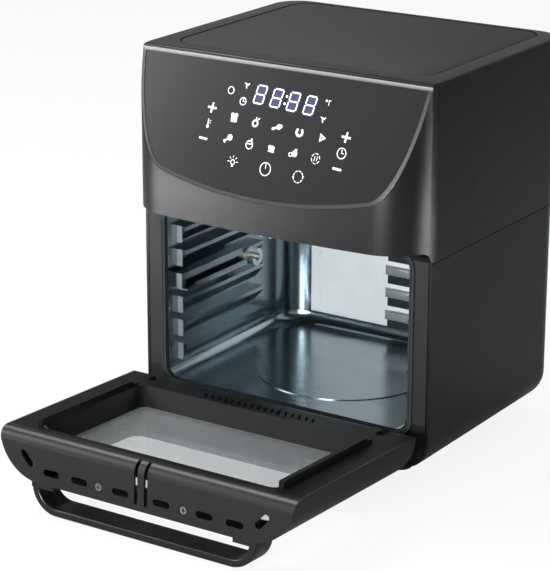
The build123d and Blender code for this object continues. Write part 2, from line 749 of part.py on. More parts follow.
def build_heater():
    """One bent tube: an inner ring, a half turn out to an outer ring, and both ends led out sideways."""
    bend = (heater_outer_radius - heater_inner_radius) / 2
    middle = (heater_outer_radius + heater_inner_radius) / 2
    lead_centre = polar(heater_inner_radius + bend, heater_lead_angle)
    exit_centre = polar(heater_outer_radius + bend, heater_exit_angle)
    out_x = -ceiling_opening - 18.0
    inner_sweep = 360 - heater_lead_angle + heater_turn_angle
    outer_sweep = -(360 - heater_exit_angle + heater_turn_angle)
    path = [
        Line((out_x, lead_centre[1] + bend), (lead_centre[0], lead_centre[1] + bend)),
        CenterArc(lead_centre, bend, 90, heater_lead_angle - 270),
        CenterArc((0, 0), heater_inner_radius, heater_lead_angle, inner_sweep),
        CenterArc(polar(middle, heater_turn_angle), bend, heater_turn_angle + 180, 180),
        CenterArc((0, 0), heater_outer_radius, heater_turn_angle, outer_sweep),
        CenterArc(exit_centre, bend, heater_exit_angle - 180, 270 - heater_exit_angle),
        Line((exit_centre[0], exit_centre[1] + bend), (out_x, exit_centre[1] + bend)),
    ]
    print("heater least gap", round(2 * bend - heater_tube, 2))
    section = Plane((out_x, lead_centre[1] + bend, 0), z_dir=(1, 0, 0)) * Circle(heater_tube / 2)
    tube = sweep(section, path=Wire([line.edge() for line in path]))
    leads = [lead_centre[1] + bend, exit_centre[1] + bend]
    return Pos(0, fan_y, heater_z) * tube, leads


def build_motor():
    top = bridge_z + bridge_sheet
    bridge = block(-bridge_half_x, bridge_half_x, fan_y - bridge_half_y, fan_y + bridge_half_y, bridge_z, top)
    for side in (-1, 1):
        outer, inner = side * bridge_half_x, side * (bridge_half_x - bridge_sheet)
        bridge += block(outer, inner, fan_y - bridge_half_y, fan_y + bridge_half_y, ceiling_z, bridge_z)
        foot = side * (bridge_half_x + 10)
        bridge += block(outer, foot, fan_y - bridge_half_y, fan_y + bridge_half_y,
                        ceiling_z, ceiling_z + bridge_sheet)
    bridge -= Pos(0, fan_y, bridge_z) * Cylinder(14.0, 10.0)
    save("motor_bridge", bridge)

    low = top + motor_gap_above_bridge
    high = low + motor_stack_height
    half = motor_stack / 2
    stack = Pos(0, fan_y, (low + high) / 2) * Box(motor_stack, motor_stack, motor_stack_height)
    stack -= Pos(0, fan_y, (low + high) / 2) * Cylinder(13.0, motor_stack_height + 2)
    stack -= block(-half + 10, half - 10, fan_y + 16, fan_y + 24, low - 1, high + 1)
    post_places = [(x, y) for x in (-22.0, 22.0) for y in (fan_y - 22.0, fan_y + 12.0)]
    for x, y in post_places:
        stack += Pos(x, y, (top + low) / 2) * Cylinder(3.0, motor_gap_above_bridge)
    save("motor_stack", stack)

    rotor = Pos(0, fan_y, (low + high) / 2) * Cylinder(12.4, motor_stack_height)
    rotor -= Pos(0, fan_y, (low + high) / 2) * Cylinder(shaft_radius, 60)
    save("motor_rotor", rotor)

    coil_y = fan_y + 26.0
    coil = block(-15, 15, coil_y - 9.6, coil_y + 12, low - 5, low - 0.3)
    coil += block(-15, 15, coil_y - 9.6, coil_y + 12, high + 0.3, high + 6)
    coil += block(-15, 15, coil_y + 2.2, coil_y + 12, low - 6, high + 6)
    save("motor_coil", coil)

    caps = []
    for z0, z1 in ((low - 3.0, low), (high, high + 3.0)):
        cap = block(-10, 10, fan_y - 26, fan_y + 12, z0, z1)
        cap += Pos(0, fan_y, (z0 + z1) / 2) * Cylinder(12.0, 3.0)
        cap -= Pos(0, fan_y, (z0 + z1) / 2) * Cylinder(shaft_radius + 0.3, 10)
        caps.append(cap)
    save("motor_bearings", *caps)

    board_x1 = bridge_half_x - 6.0
    board_x0 = board_x1 - board_width
    board_half = board_width / 2
    board_low = top + board_post
    board_face = board_low + board_sheet
    board = block(board_x0, board_x1, fan_y - board_half, fan_y + board_half, board_low, board_face)
    for x in (board_x0 + 5, board_x1 - 5):
        for y in (fan_y - board_half + 5, fan_y + board_half - 5):
            board += Pos(x, y, top + board_post / 2) * Cylinder(2.5, board_post)
    choke_x, transformer_x = board_x0 + choke_size, board_x1 - board_width / 3 + 2
    board += Pos(choke_x, fan_y, board_face + choke_size / 2) * Box(choke_size, choke_size, choke_size)
    board += Pos(transformer_x, fan_y - choke_size, board_face + choke_size / 2) * Box(
        transformer_size, choke_size, choke_size)
    capacitor_y = fan_y + 2 * capacitor_radius
    board += Pos(transformer_x, capacitor_y, board_face + capacitor_height / 2) * Cylinder(
        capacitor_radius, capacitor_height)
    save("power_board", board)

    fuse_x = -bridge_half_x + 52.0
    fuse = block(fuse_x - 8, fuse_x + 8, fan_y - 8, fan_y + 8, top, top + 4)
    fuse += Pos(fuse_x, fan_y, top + 6.5) * Cylinder(7.0, 5.0)
    save("thermal_cutout", fuse)

    probe = rod((sensor_x, sensor_y, ceiling_z - 22), (sensor_x, sensor_y, ceiling_z + 6), sensor_radius)
    probe += rod((sensor_x, sensor_y, ceiling_z), (sensor_x, sensor_y, ceiling_z + 3), 6.0)
    save("temperature_probe", probe)


def build_rotisserie():
    rail_face = -mouth_half_width + rail_depth
    back_x = rail_face + 0.2
    strip, lip, curb = 1.2, 8.0, 4.0
    low, high = spit_z - 3.5, spit_z + 11.0
    track_front, track_rear = chamber_front + 6.5, spit_y - 9.3
    track = block(back_x, back_x + strip, track_front, track_rear, low, high)
    track += block(back_x, back_x + lip, track_front, track_rear, low - strip, low)
    track += block(back_x + lip - strip, back_x + lip, track_front + 14, track_rear, low - strip, low + curb)
    hook = block(-mouth_half_width, back_x + strip, track_front, track_front + strip, low, high)
    save("spit_track", track + hook)

    socket = rod((rail_face + 0.2, spit_y, spit_z), (rail_face + 12, spit_y, spit_z), 9.0)
    socket -= rod((rail_face + 3, spit_y, spit_z), (rail_face + 14, spit_y, spit_z), spit_bore)
    socket -= block(rail_face + 3, rail_face + 14, spit_y - 12, spit_y, spit_z - 1.0, spit_z + 12)
    save("spit_rest", socket)

    wall_outer = mouth_half_width + sheet
    motor = rod((wall_outer + 0.2, spit_y, spit_z), (wall_outer + spit_motor_length, spit_y, spit_z),
                spit_motor_radius)
    motor -= rod((wall_outer - 1, spit_y, spit_z), (wall_outer + 9, spit_y, spit_z), 5.4)
    save("spit_motor", motor)

    drive = rod((wall_outer - 8, spit_y, spit_z), (wall_outer + 8.5, spit_y, spit_z), 5.0)
    drive += rod((mouth_half_width - 12, spit_y, spit_z), (mouth_half_width - 0.5, spit_y, spit_z),
                 drive_radius - 1)
    half = drive_square / 2
    drive -= block(mouth_half_width - 13, mouth_half_width - 2, spit_y - half, spit_y + half,
                   spit_z - half, spit_z + half)
    save("spit_drive", drive)


def build_lamp():
    inner = mouth_half_width
    lens = rod((inner - 1.8, lamp_y, lamp_z), (inner - 0.2, lamp_y, lamp_z), lamp_hole_radius + 2.5)
    lens += rod((inner - 0.3, lamp_y, lamp_z), (inner + 3.0, lamp_y, lamp_z), lamp_hole_radius - 0.3)
    save("lamp_lens", lens)
    start = inner + sheet + 0.2
    floor_x = start + lamp_housing_depth - 2.5
    holder = rod((start, lamp_y, lamp_z), (start + lamp_housing_depth, lamp_y, lamp_z), lamp_housing_radius)
    holder -= rod((start - 1, lamp_y, lamp_z), (floor_x, lamp_y, lamp_z), lamp_housing_radius - 2.5)
    save("lamp_holder", holder)
    bulb_x = floor_x - 5.0
    bulb = rod((bulb_x, lamp_y, lamp_z - 9), (bulb_x, lamp_y, lamp_z + 5), bulb_radius)
    bulb += Pos(bulb_x, lamp_y, lamp_z + 5) * Sphere(bulb_radius)
    bulb += block(bulb_x - 3, bulb_x + 4.9, lamp_y - 4, lamp_y + 4, lamp_z - 13.5, lamp_z - 9)
    save("lamp_bulb", bulb)


def door_profile(inset, rear):
    """Side view of the door as it stands closed: rounded top rear corner, front tucked in below."""
    front = door_front + inset
    low, high = door_bottom + inset, door_top - inset
    radius = door_top_rear_radius - inset
    corner_y, corner_z = door_rear - door_top_rear_radius, door_top - door_top_rear_radius
    edge_y = corner_y + radius
    bulge = ((door_tuck_start - door_bottom) ** 2 + door_tuck**2) / (2 * door_tuck)
    foot_y = front + bulge - sqrt(bulge**2 - (door_tuck_start - low) ** 2)
    half_z = (door_tuck_start + low) / 2
    half_y = front + bulge - sqrt(bulge**2 - (door_tuck_start - half_z) ** 2)
    line = Polyline((corner_y, high), (front, high), (front, door_tuck_start))
    line += ThreePointArc((front, door_tuck_start), (half_y, half_z), (foot_y, low))
    tail = [(foot_y, low), (rear, low), (rear, corner_z)]
    if rear > edge_y:
        tail.append((edge_y, corner_z))
    line += Polyline(*tail)
    line += CenterArc((corner_y, corner_z), radius, 0, 90)
    return make_face(line)


def door_solid(inset=0.0, rear=door_rear):
    """The whole closed door as one block, or shrunk all round by an inset."""
    half, front = half_width - inset, door_front + inset
    radius = door_corner_radius - inset
    depth = frame_front - front + 10.0
    plan = Pos(0, front + depth / 2) * Rectangle(2 * half, depth)
    plan = fillet(plan.vertices().sort_by(Axis.Y)[:2], radius)
    column = extrude(plan, body_top)
    return column & extrude(Plane.YZ * door_profile(inset, rear), half_width + 5, both=True)


def window_face(half, low, high, radius, y):
    face = Pos(0, (low + high) / 2) * Rectangle(2 * half, high - low)
    face = fillet(face.vertices(), radius)
    return Plane((0, y, 0), x_dir=(1, 0, 0), z_dir=(0, -1, 0)) * face


def opened(shape):
    """Turns a piece of the closed door to its open rest place."""
    return shape.rotate(Axis((0, hinge_y, hinge_z), (1, 0, 0)), door_open_angle)


def hinge_notches(margin=0.0):
    """Room for both fixed lugs at the door's lower rear corners."""
    half = lug_thickness / 2 + lug_clearance - margin
    notches = [block(x - half, x + half, hinge_y - 7.5 + margin, 0, 0, hinge_z + 7.0 - margin)
               for x in (-lug_centre_x, lug_centre_x)]
    return notches[0] + notches[1]


def build_door():
    shell = door_solid() - door_solid(door_skin, door_rear - door_skin)
    rear_half, rear_low, rear_high = half_width - door_skin, door_bottom + door_skin, door_top - 14.0
    shell -= block(-rear_half, rear_half, door_rear - door_skin - 1, door_rear + 1, rear_low, rear_high)
    window = window_face(window_half_width, window_bottom, window_top, window_radius, door_front - 1)
    rim_width, glass_seat = 6.0, 2.4
    rim = window_face(window_half_width + rim_width, window_bottom - rim_width, window_top + rim_width,
                      window_radius + rim_width, door_front + 2)
    rim_block = extrude(rim, -8.0) & door_solid(1.0)
    shell = shell + rim_block - extrude(window, -30)
    pocket = window_face(window_half_width + outer_lap, window_bottom - outer_lap, window_top + outer_lap,
                         window_radius + outer_lap, door_front + glass_seat)
    shell -= extrude(pocket, -20)
    slots = []
    for x in air_slot_rows:
        for side in (-1, 1):
            slot = extrude(SlotOverall(air_slot_length, air_slot_width), 8, both=True)
            slots.append(Pos(side * x, air_slot_y, door_top) * slot)
    for side in (-1, 1):
        corner_slot = extrude(SlotOverall(air_slot_length, air_slot_width), 8, both=True)
        corner_place = Pos(side * corner_slot_x, corner_slot_y, door_top) * Rot(0, 0, side * corner_slot_turn)
        slots.append(corner_place * corner_slot)
        x = side * catch_slot_x
        half = catch_slot_width / 2
        slots.append(block(x - half, x + half, air_slot_y - 7, door_rear + 1, door_top - 8, door_top + 1))
        screw_x = side * door_screw_x
        slots.append(rod((screw_x, air_slot_y, door_top - 8), (screw_x, air_slot_y, door_top + 1),
                         door_screw_radius + 0.2))
        slots.append(rod((screw_x, air_slot_y, door_top - 1.2), (screw_x, air_slot_y, door_top + 1),
                         door_screw_head_radius + 0.4))
    for slot in slots:
        shell -= slot
    shell -= hinge_notches()
    handle_screw_places = [(side * (handle_half_width - handle_bar / 2 - 12), z)
                           for side in (-1, 1) for z in (door_top - handle_height + 8, door_top - 8)]
    for x, z in handle_screw_places:
        shell -= rod((x, door_front - 1, z), (x, door_front + 5, z), 2.2)
    save("door_outer_shell", opened(shell))

    screws = []
    for side in (-1, 1):
        x = side * door_screw_x
        head = rod((x, air_slot_y, door_top - 1.2), (x, air_slot_y, door_top + 0.4), door_screw_head_radius)
        shank = rod((x, air_slot_y, door_top - 6), (x, air_slot_y, door_top - 1.2), door_screw_radius)
        screws.append(opened(head + shank))
    save("door_screws", *screws)

    frame_low, frame_high = door_bottom + door_skin + 0.2, door_top - 14.2
    frame_half = half_width - door_skin - 0.2
    front = door_rear - inner_frame_depth
    envelope = door_solid(door_skin + 0.2, door_rear)
    frame = block(-frame_half, frame_half, front, door_rear, frame_low, frame_high) & envelope
    funnel_half, funnel_high = ridge_outer_x - ridge_width, ridge_top + 3
    funnel_rear = window_face(funnel_half, funnel_low, funnel_high, inner_glass_radius, door_rear)
    funnel_front = window_face(inner_glass_half_width - glass_lap, inner_glass_bottom + glass_lap,
                               inner_glass_top - glass_lap, inner_glass_radius, inner_glass_rear)
    funnel = loft([funnel_rear, funnel_front], ruled=True)
    glass_room = window_face(inner_glass_half_width + glass_gap, inner_glass_bottom - glass_gap,
                             inner_glass_top + glass_gap, inner_glass_radius + glass_gap, inner_glass_rear)
    skin = 2.4
    core = block(-frame_half + 4, frame_half - 4, front - 1, door_rear - skin, frame_low + 4, frame_high - 4)
    keep_rear = window_face(funnel_half + skin, funnel_low - skin, funnel_high + skin,
                            inner_glass_radius + skin, door_rear)
    keep_front = window_face(inner_glass_half_width + 3, inner_glass_bottom - 3, inner_glass_top + 3,
                             inner_glass_radius + 2, front - 1)
    core -= loft([keep_rear, keep_front], ruled=True)
    core &= door_solid(door_skin + 4.0, door_rear)
    frame = frame - funnel - extrude(glass_room, 20) - core
    pan_top = mouth_bottom + pan_wall_height
    for side in (-1, 1):
        outer = side * ridge_outer_x
        root, toe, crest = door_rear - 4, door_rear + ridge_toe, door_rear + ridge_height
        ridge = make_face(Polyline(
            (root, ridge_bottom), (toe, ridge_bottom), (toe, pan_top), (crest, pan_top + ridge_height),
            (crest, ridge_top), (root, ridge_top), (root, ridge_bottom)))
        frame += Pos(outer, 0, 0) * extrude(Plane.YZ * ridge, -side * ridge_width)
        x = side * lug_centre_x
        boss_top = hinge_z + 12
        boss = block(x - 9.0, x + 9.0, hinge_y - 5.5, door_rear, frame_low, boss_top)
        frame += boss & envelope
    start = -(intake_slots - 1) / 2 * intake_pitch
    for index in range(intake_slots):
        x = start + index * intake_pitch
        slot = Pos(x, front, (frame_low + ridge_bottom) / 2) * Rot(0, intake_slant, 0)
        frame -= slot * Box(intake_width, 2 * inner_frame_depth + 2, intake_height)
    frame -= hinge_notches()
    for side in (-1, 1):
        pin_room = lug_thickness
        frame -= rod((side * (lug_centre_x - pin_room), hinge_y, hinge_z),
                     (side * (lug_centre_x + pin_room), hinge_y, hinge_z), pin_radius)
        frame -= block(side * catch_slot_x - catch_slot_width / 2, side * catch_slot_x + catch_slot_width / 2,
                       air_slot_y, door_rear + 1, door_top - 8, door_top + 1)
    save("door_inner_frame", opened(frame))

    inner_glass = extrude(window_face(inner_glass_half_width, inner_glass_bottom, inner_glass_top,
                                      inner_glass_radius, inner_glass_rear - 0.1), glass_thickness)
    save("inner_glass", opened(inner_glass))
    lap = outer_lap - glass_gap
    outer_glass = extrude(window_face(window_half_width + lap, window_bottom - lap, window_top + lap,
                                      window_radius + lap, door_front + glass_seat + 0.2 + glass_thickness),
                          glass_thickness)
    save("outer_glass", opened(outer_glass))

    clips = []
    for side in (-1, 1):
        for z in (inner_glass_bottom + 40.0, inner_glass_top - 37.0):
            edge = side * inner_glass_half_width
            y = door_rear - inner_frame_depth - 0.2
            clip = block(edge - side * 5, edge + side * 6, y - 1.4, y, z - 9, z + 9)
            clip += block(edge - side * 5, edge - side * 1, y, inner_glass_rear - glass_thickness - 0.2,
                          z - 9, z + 9)
            clips.append(opened(clip))
    save("glass_clips", *clips)

    pins = []
    for side in (-1, 1):
        pins.append(opened(rod((side * (lug_centre_x - 7.6), hinge_y, hinge_z),
                               (side * (lug_centre_x + 7.6), hinge_y, hinge_z), pin_radius)))
    save("hinge_pins", *pins)

    handle_depth = handle_gap + handle_bar
    bar = Pos(0, door_front - handle_depth / 2 + 1.5) * Rectangle(2 * handle_half_width, handle_depth + 3)
    bar = fillet(bar.vertices().sort_by(Axis.Y)[:2], handle_outer_radius)
    inner_half = handle_half_width - handle_bar
    inner = Pos(0, door_front - handle_gap / 2 + 5) * Rectangle(2 * inner_half, handle_gap + 10)
    inner = fillet(inner.vertices().sort_by(Axis.Y)[:2], handle_outer_radius - handle_bar)
    handle = extrude(Pos(0, 0, door_top - handle_height) * (bar - inner), handle_height)
    faces = handle.faces().sort_by(Axis.Z)
    handle = fillet(faces[-1].edges() + faces[0].edges(), handle_edge_radius)
    for side in (-1, 1):
        pad = block(side * handle_half_width, side * (handle_half_width - 24), door_front - 4, door_front + 3,
                    door_top - handle_height, door_top)
        handle += pad
    handle -= door_solid()
    for x, z in handle_screw_places:
        handle -= rod((x, door_front - 3.2, z), (x, door_front + 5, z), 1.5)
    save("handle", opened(handle))
    handle_screws = []
    for x, z in handle_screw_places:
        head = rod((x, door_front + door_skin, z), (x, door_front + door_skin + 2.2, z), 3.6)
        shank = rod((x, door_front - 3.0, z), (x, door_front + door_skin, z), 1.4)
        handle_screws.append(opened(head + shank))
    save("handle_screws", *handle_screws)


def leaning(shape):
    """Tilts a piece drawn upright so that it lies along the sloping front."""
    return shape.rotate(Axis((0, -front_reach, slope_start_z), (1, 0, 0)), -lean_angle)


def build_controls():
    inside = upper_solid(wall + 0.2)
    half = panel_half_width - carrier_side_margin
    low, high = panel_bottom + carrier_edge_margin, body_top - carrier_edge_margin
    back = -front_reach + carrier_depth
    carrier = leaning(block(-half, half, -front_reach - 5, back, low, high)) & inside
    carrier -= leaning(block(-half + 3, half - 3, -front_reach - 20, back - 2, low + 3, high - 3))
    save("control_carrier", carrier)
    board_back = back - 2.2
    board = leaning(block(-half + 4, half - 4, board_back - 1.6, board_back, low + 4, high - 4))
    save("control_board", board)
    left, right = display_x - display_half_width, display_x + display_half_width
    display = leaning(block(left, right, -front_reach + 5.5, board_back - 1.8, display_low, display_high))
    save("display_module", display)

    chin_top = door_top + 1.0 + wall + 0.2
    switch = block(-10, 10, switch_y - 6, switch_y + 6, chin_top, chin_top + 12)
    switch -= rod((0, switch_y, chin_top - 1), (0, switch_y, chin_top + 8), plunger_radius + 0.3)
    save("interlock_switch", switch)
    plunger = rod((0, switch_y, door_top + 0.4), (0, switch_y, chin_top + 5), plunger_radius)
    save("switch_plunger", plunger)

    catch = block(-14, 14, catch_front, catch_rear, chin_top, chin_top + sheet)
    for side in (-1, 1):
        x = side * catch_slot_x
        catch += block(x - 1.2, x + 1.2, catch_front + 1, catch_rear, door_top - 4, chin_top + sheet)
    save("door_catch", catch)


def build_hinge_brackets():
    brackets = []
    half = lug_thickness / 2
    rear = frame_front + frame_thickness
    for side in (-1, 1):
        x = side * lug_centre_x
        low, high = hinge_z - lug_half_height, hinge_z + lug_half_height
        arm = block(x - half, x + half, hinge_y, rear + bracket_sheet, low, high)
        arm += rod((x - half, hinge_y, hinge_z), (x + half, hinge_y, hinge_z), lug_half_height)
        inner, outer = side * (lug_centre_x - bracket_inner), side * (lug_centre_x + bracket_outer)
        arm += block(inner, outer, rear + 0.2, rear + bracket_sheet + 0.2, hinge_z - bracket_drop,
                     hinge_z + bracket_rise)
        arm -= rod((x - half - 1, hinge_y, hinge_z), (x + half + 1, hinge_y, hinge_z), pin_radius + 0.15)
        brackets.append(arm)
    save("hinge_brackets", *brackets)


build_upper_body()
build_lower_body()
build_front_frame()
build_chamber()
build_fan_group()
build_motor()
build_rotisserie()
build_lamp()
build_controls()
build_door()
build_hinge_brackets()
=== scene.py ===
import math
import bmesh
import bpy
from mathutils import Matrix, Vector


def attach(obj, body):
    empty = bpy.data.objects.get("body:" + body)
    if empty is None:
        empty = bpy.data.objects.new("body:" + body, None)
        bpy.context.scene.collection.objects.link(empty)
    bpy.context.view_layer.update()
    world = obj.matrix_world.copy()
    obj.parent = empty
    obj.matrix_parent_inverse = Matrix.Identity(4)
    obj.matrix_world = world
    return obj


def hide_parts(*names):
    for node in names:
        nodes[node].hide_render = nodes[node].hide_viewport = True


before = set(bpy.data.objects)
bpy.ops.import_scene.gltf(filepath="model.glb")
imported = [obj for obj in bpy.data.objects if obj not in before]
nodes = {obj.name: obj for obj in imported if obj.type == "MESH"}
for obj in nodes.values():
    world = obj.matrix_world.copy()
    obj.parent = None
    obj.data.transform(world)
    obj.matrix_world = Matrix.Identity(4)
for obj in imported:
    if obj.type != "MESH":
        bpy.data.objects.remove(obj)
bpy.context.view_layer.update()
mm = 0.001

print("frame loaded,", len(nodes), "nodes")


# Camera at the photograph's angle. Lengths in metres, frame in pixels
view = {
    "place": (1.1292, -1.8511, 0.858),
    "lookAt": (-0.0631, -0.0587, 0.1553),
    "focalPixels": 2328.9,
    "framePixels": (550, 571),
    "centrePixel": (259.46, 280.63),
    "sensor": 36.0,
}


def buildCamera():
    longSide = max(view["framePixels"])
    bpy.ops.object.camera_add(location=view["place"])
    camera = bpy.context.object
    camera.name = "photoCamera"
    aim = Vector(view["lookAt"]) - Vector(view["place"])
    camera.rotation_euler = aim.to_track_quat("-Z", "Y").to_euler()
    camera.data.sensor_width = view["sensor"]
    camera.data.lens = view["focalPixels"] / longSide * view["sensor"]
    camera.data.shift_x = (view["framePixels"][0] / 2 - view["centrePixel"][0]) / longSide
    camera.data.shift_y = (view["centrePixel"][1] - view["framePixels"][1] / 2) / longSide
    camera.data.clip_end = 50
    bpy.context.scene.camera = camera


# One socket of a shader tree, with the usual arithmetic
class Flow:
    def __init__(self, finish, socket):
        self.finish = finish
        self.socket = socket

    def __add__(self, other):
        return self.finish.math("ADD", self, other)

    def __sub__(self, other):
        return self.finish.math("SUBTRACT", self, other)

    def __rsub__(self, other):
        return self.finish.math("SUBTRACT", other, self)

    def __mul__(self, other):
        return self.finish.math("MULTIPLY", self, other)

    __radd__ = __add__
    __rmul__ = __mul__

    def clamped(self):
        return self.finish.node("ShaderNodeClamp", {}, Value=self)

    def power(self, exponent):
        return self.finish.math("POWER", self, exponent)


# A material, with short ways to add the nodes that the finishes here need
class Finish:
    def __init__(self, name):
        self.material = bpy.data.materials.new(name)
        self.material.use_nodes = True
        self.tree = self.material.node_tree
        self.shader = self.tree.nodes["Principled BSDF"]
        self.output = self.tree.nodes["Material Output"]
        self.place = self.node("ShaderNodeTexCoord", {}, output="Object")

    def put(self, socket, value):
        if isinstance(value, Flow):
            self.tree.links.new(value.socket, socket)
        else:
            socket.default_value = value

    def node(self, kind, settings, output=0, **inputs):
        made = self.tree.nodes.new(kind)
        for key, value in settings.items():
            setattr(made, key, value)
        for key, value in inputs.items():
            self.put(made.inputs[key.replace("_", " ")], value)
        return Flow(self, made.outputs[output])

    def math(self, operation, first, second=0.0):
        made = self.tree.nodes.new("ShaderNodeMath")
        made.operation = operation
        self.put(made.inputs[0], first)
        self.put(made.inputs[1], second)
        return Flow(self, made.outputs[0])

    def stretched(self, scale):
        return self.node("ShaderNodeMapping", {}, Vector=self.place, Scale=scale)

    def noise(self, scale, detail=3.0, roughness=0.5, along=None, distortion=0.0):
        return self.node("ShaderNodeTexNoise", {}, Vector=along or self.place, Scale=scale, Detail=detail,
                         Roughness=roughness, Distortion=distortion)

    def ramp(self, value, low, high):
        return self.node("ShaderNodeMapRange", {}, Value=value, From_Min=low, From_Max=high)

    def blend(self, factor, first, second):
        made = self.tree.nodes.new("ShaderNodeMix")
        made.data_type = "RGBA"
        self.put(made.inputs[0], factor)
        self.put(made.inputs[6], tuple(first) + (1.0,) if isinstance(first, tuple) else first)
        self.put(made.inputs[7], tuple(second) + (1.0,) if isinstance(second, tuple) else second)
        return Flow(self, made.outputs[2])

    def bump(self, height, strength, distance):
        self.put(self.shader.inputs["Normal"], self.node(
            "ShaderNodeBump", {}, Height=height, Strength=strength, Distance=distance))

    def set(self, **values):
        for key, value in values.items():
            if isinstance(value, tuple) and len(value) == 3:
                value = value + (1.0,)
            self.put(self.shader.inputs[key.replace("_", " ")], value)


# Moulded and painted finishes: a fine grain, soft colour drift, slightly worn gloss
def mouldedFinish(name, colour, roughness, grain=0.25, grainScale=1500, drift=0.10, shine=0.5):
    made = Finish(name)
    cloud = made.noise(9.0, 4.0)
    pores = made.noise(grainScale, 2.0)
    lift = made.ramp(cloud, 0.3, 0.7)
    darker = tuple(c * (1 - drift) for c in colour)
    lighter = tuple(c * (1 + drift) for c in colour)
    made.set(Base_Color=made.blend(lift, darker, lighter),
             Roughness=roughness + (cloud - 0.5) * 0.08 + (pores - 0.5) * 0.10,
             Specular_IOR_Level=shine)
    made.bump(pores, grain, 0.00006)
    return made.material


# Sheet metal with fine rolling lines along one axis and faint handling marks
def steelFinish(name, colour, roughness, lines=(3, 260, 260), wave=0.35, smudge=0.12, metal=1.0):
    lineDepth = 0.06
    made = Finish(name)
    rolled = made.noise(1.0, 4.0, 0.6, along=made.stretched(lines))
    dents = made.noise(7.0, 1.0)
    marks = made.noise(22.0, 5.0, 0.62, distortion=0.6)
    smear = made.ramp(marks, 0.45, 0.7)
    tone = made.blend(smear * 0.5, colour, tuple(c * 0.86 for c in colour))
    made.set(Base_Color=tone, Metallic=metal,
             Roughness=(roughness + (rolled - 0.5) * 0.16 + smear * smudge).clamped())
    made.bump(rolled * lineDepth + dents * wave, 0.4, 0.0006)
    return made.material


def glassFinish(name, tint, veil, edge, roughness=0.03):
    made = Finish(name)
    facing = made.node("ShaderNodeLayerWeight", {}, output="Facing", Blend=0.35)
    dust = made.ramp(made.noise(40.0, 6.0, 0.7), 0.5, 0.8)
    made.set(Base_Color=tint, Roughness=roughness + dust * 0.05,
             Alpha=(veil + facing.power(2.0) * edge + dust * 0.02).clamped(),
             Specular_IOR_Level=0.9)
    made.material.surface_render_method = "BLENDED"
    return made.material


def rubberFinish(name, colour):
    made = Finish(name)
    bloom = made.ramp(made.noise(60.0, 4.0), 0.4, 0.75)
    made.set(Base_Color=made.blend(bloom, colour, tuple(c * 1.7 + 0.004 for c in colour)),
             Roughness=0.62 + bloom * 0.2, Specular_IOR_Level=0.35)
    made.bump(made.noise(900.0, 2.0), 0.3, 0.00005)
    return made.material


# Oxidised heater sheath: straw and violet tints where it runs hottest
def heaterFinish():
    made = Finish("heaterSheath")
    heat = made.ramp(made.noise(26.0, 3.0), 0.35, 0.7)
    made.set(Base_Color=made.blend(heat, (0.16, 0.14, 0.15), (0.33, 0.24, 0.16)), Metallic=0.85,
             Roughness=0.38 + heat * 0.15)
    made.bump(made.noise(700.0, 2.0), 0.3, 0.00005)
    return made.material


def windingFinish():
    made = Finish("copperWinding")
    turns = made.node("ShaderNodeTexWave", {"bands_direction": "Z"}, Vector=made.place, Scale=900.0,
                      Distortion=0.4)
    made.set(Base_Color=made.blend(turns, (0.30, 0.10, 0.035), (0.72, 0.33, 0.14)), Metallic=0.7,
             Roughness=0.35)
    made.bump(turns, 0.8, 0.0003)
    return made.material


def boardFinish():
    made = Finish("circuitBoard")
    tracks = made.node("ShaderNodeTexBrick", {}, output="Fac", Vector=made.stretched((220, 220, 220)),
                       Scale=1.0, Mortar_Size=0.12)
    made.set(Base_Color=made.blend(tracks, (0.015, 0.075, 0.035), (0.05, 0.16, 0.07)), Roughness=0.4)
    made.bump(tracks, 0.3, 0.0001)
    return made.material


# The glass-like control face: deep, glossy, with a soft smoky drift
def panelFinish():
    made = Finish("controlFace")
    smoke = made.ramp(made.noise(5.0, 2.0), 0.3, 0.8)
    made.set(Base_Color=made.blend(smoke, (0.013, 0.013, 0.014), (0.017, 0.017, 0.018)),
             Roughness=0.21 + smoke * 0.03, Specular_IOR_Level=0.27)
    made.bump(made.noise(800.0, 2.0), 0.08, 0.00003)
    return made.material


# The control face's thin surround: dark round the sides, and a painted highlight along its top, a light
# colour between two heights
bezelPaintedHighlight = {"from": 0.3835, "to": 0.3872}


def bezelFinish():
    made = Finish("bezelGrey")
    parted = made.tree.nodes.new("ShaderNodeSeparateXYZ")
    made.put(parted.inputs[0], made.place)
    height = Flow(made, parted.outputs[2])
    # the light band at the top is a painted highlight
    edge = made.ramp(height, bezelPaintedHighlight["from"], bezelPaintedHighlight["to"])
    specks = made.noise(900.0, 2.0)
    made.set(Base_Color=made.blend(edge, (0.026, 0.027, 0.029), (0.30, 0.30, 0.31)),
             Roughness=0.36 + (specks - 0.5) * 0.1, Specular_IOR_Level=0.34)
    made.bump(specks, 0.2, 0.00004)
    return made.material


def lightFinish(name, colour, strength, inner=None):
    made = Finish(name)
    glow = made.ramp(made.noise(180.0, 2.0), 0.2, 0.9)
    made.set(Base_Color=colour, Roughness=0.4, Emission_Strength=strength,
             Emission_Color=made.blend(glow, inner or tuple(c * 0.85 for c in colour), colour))
    return made.material


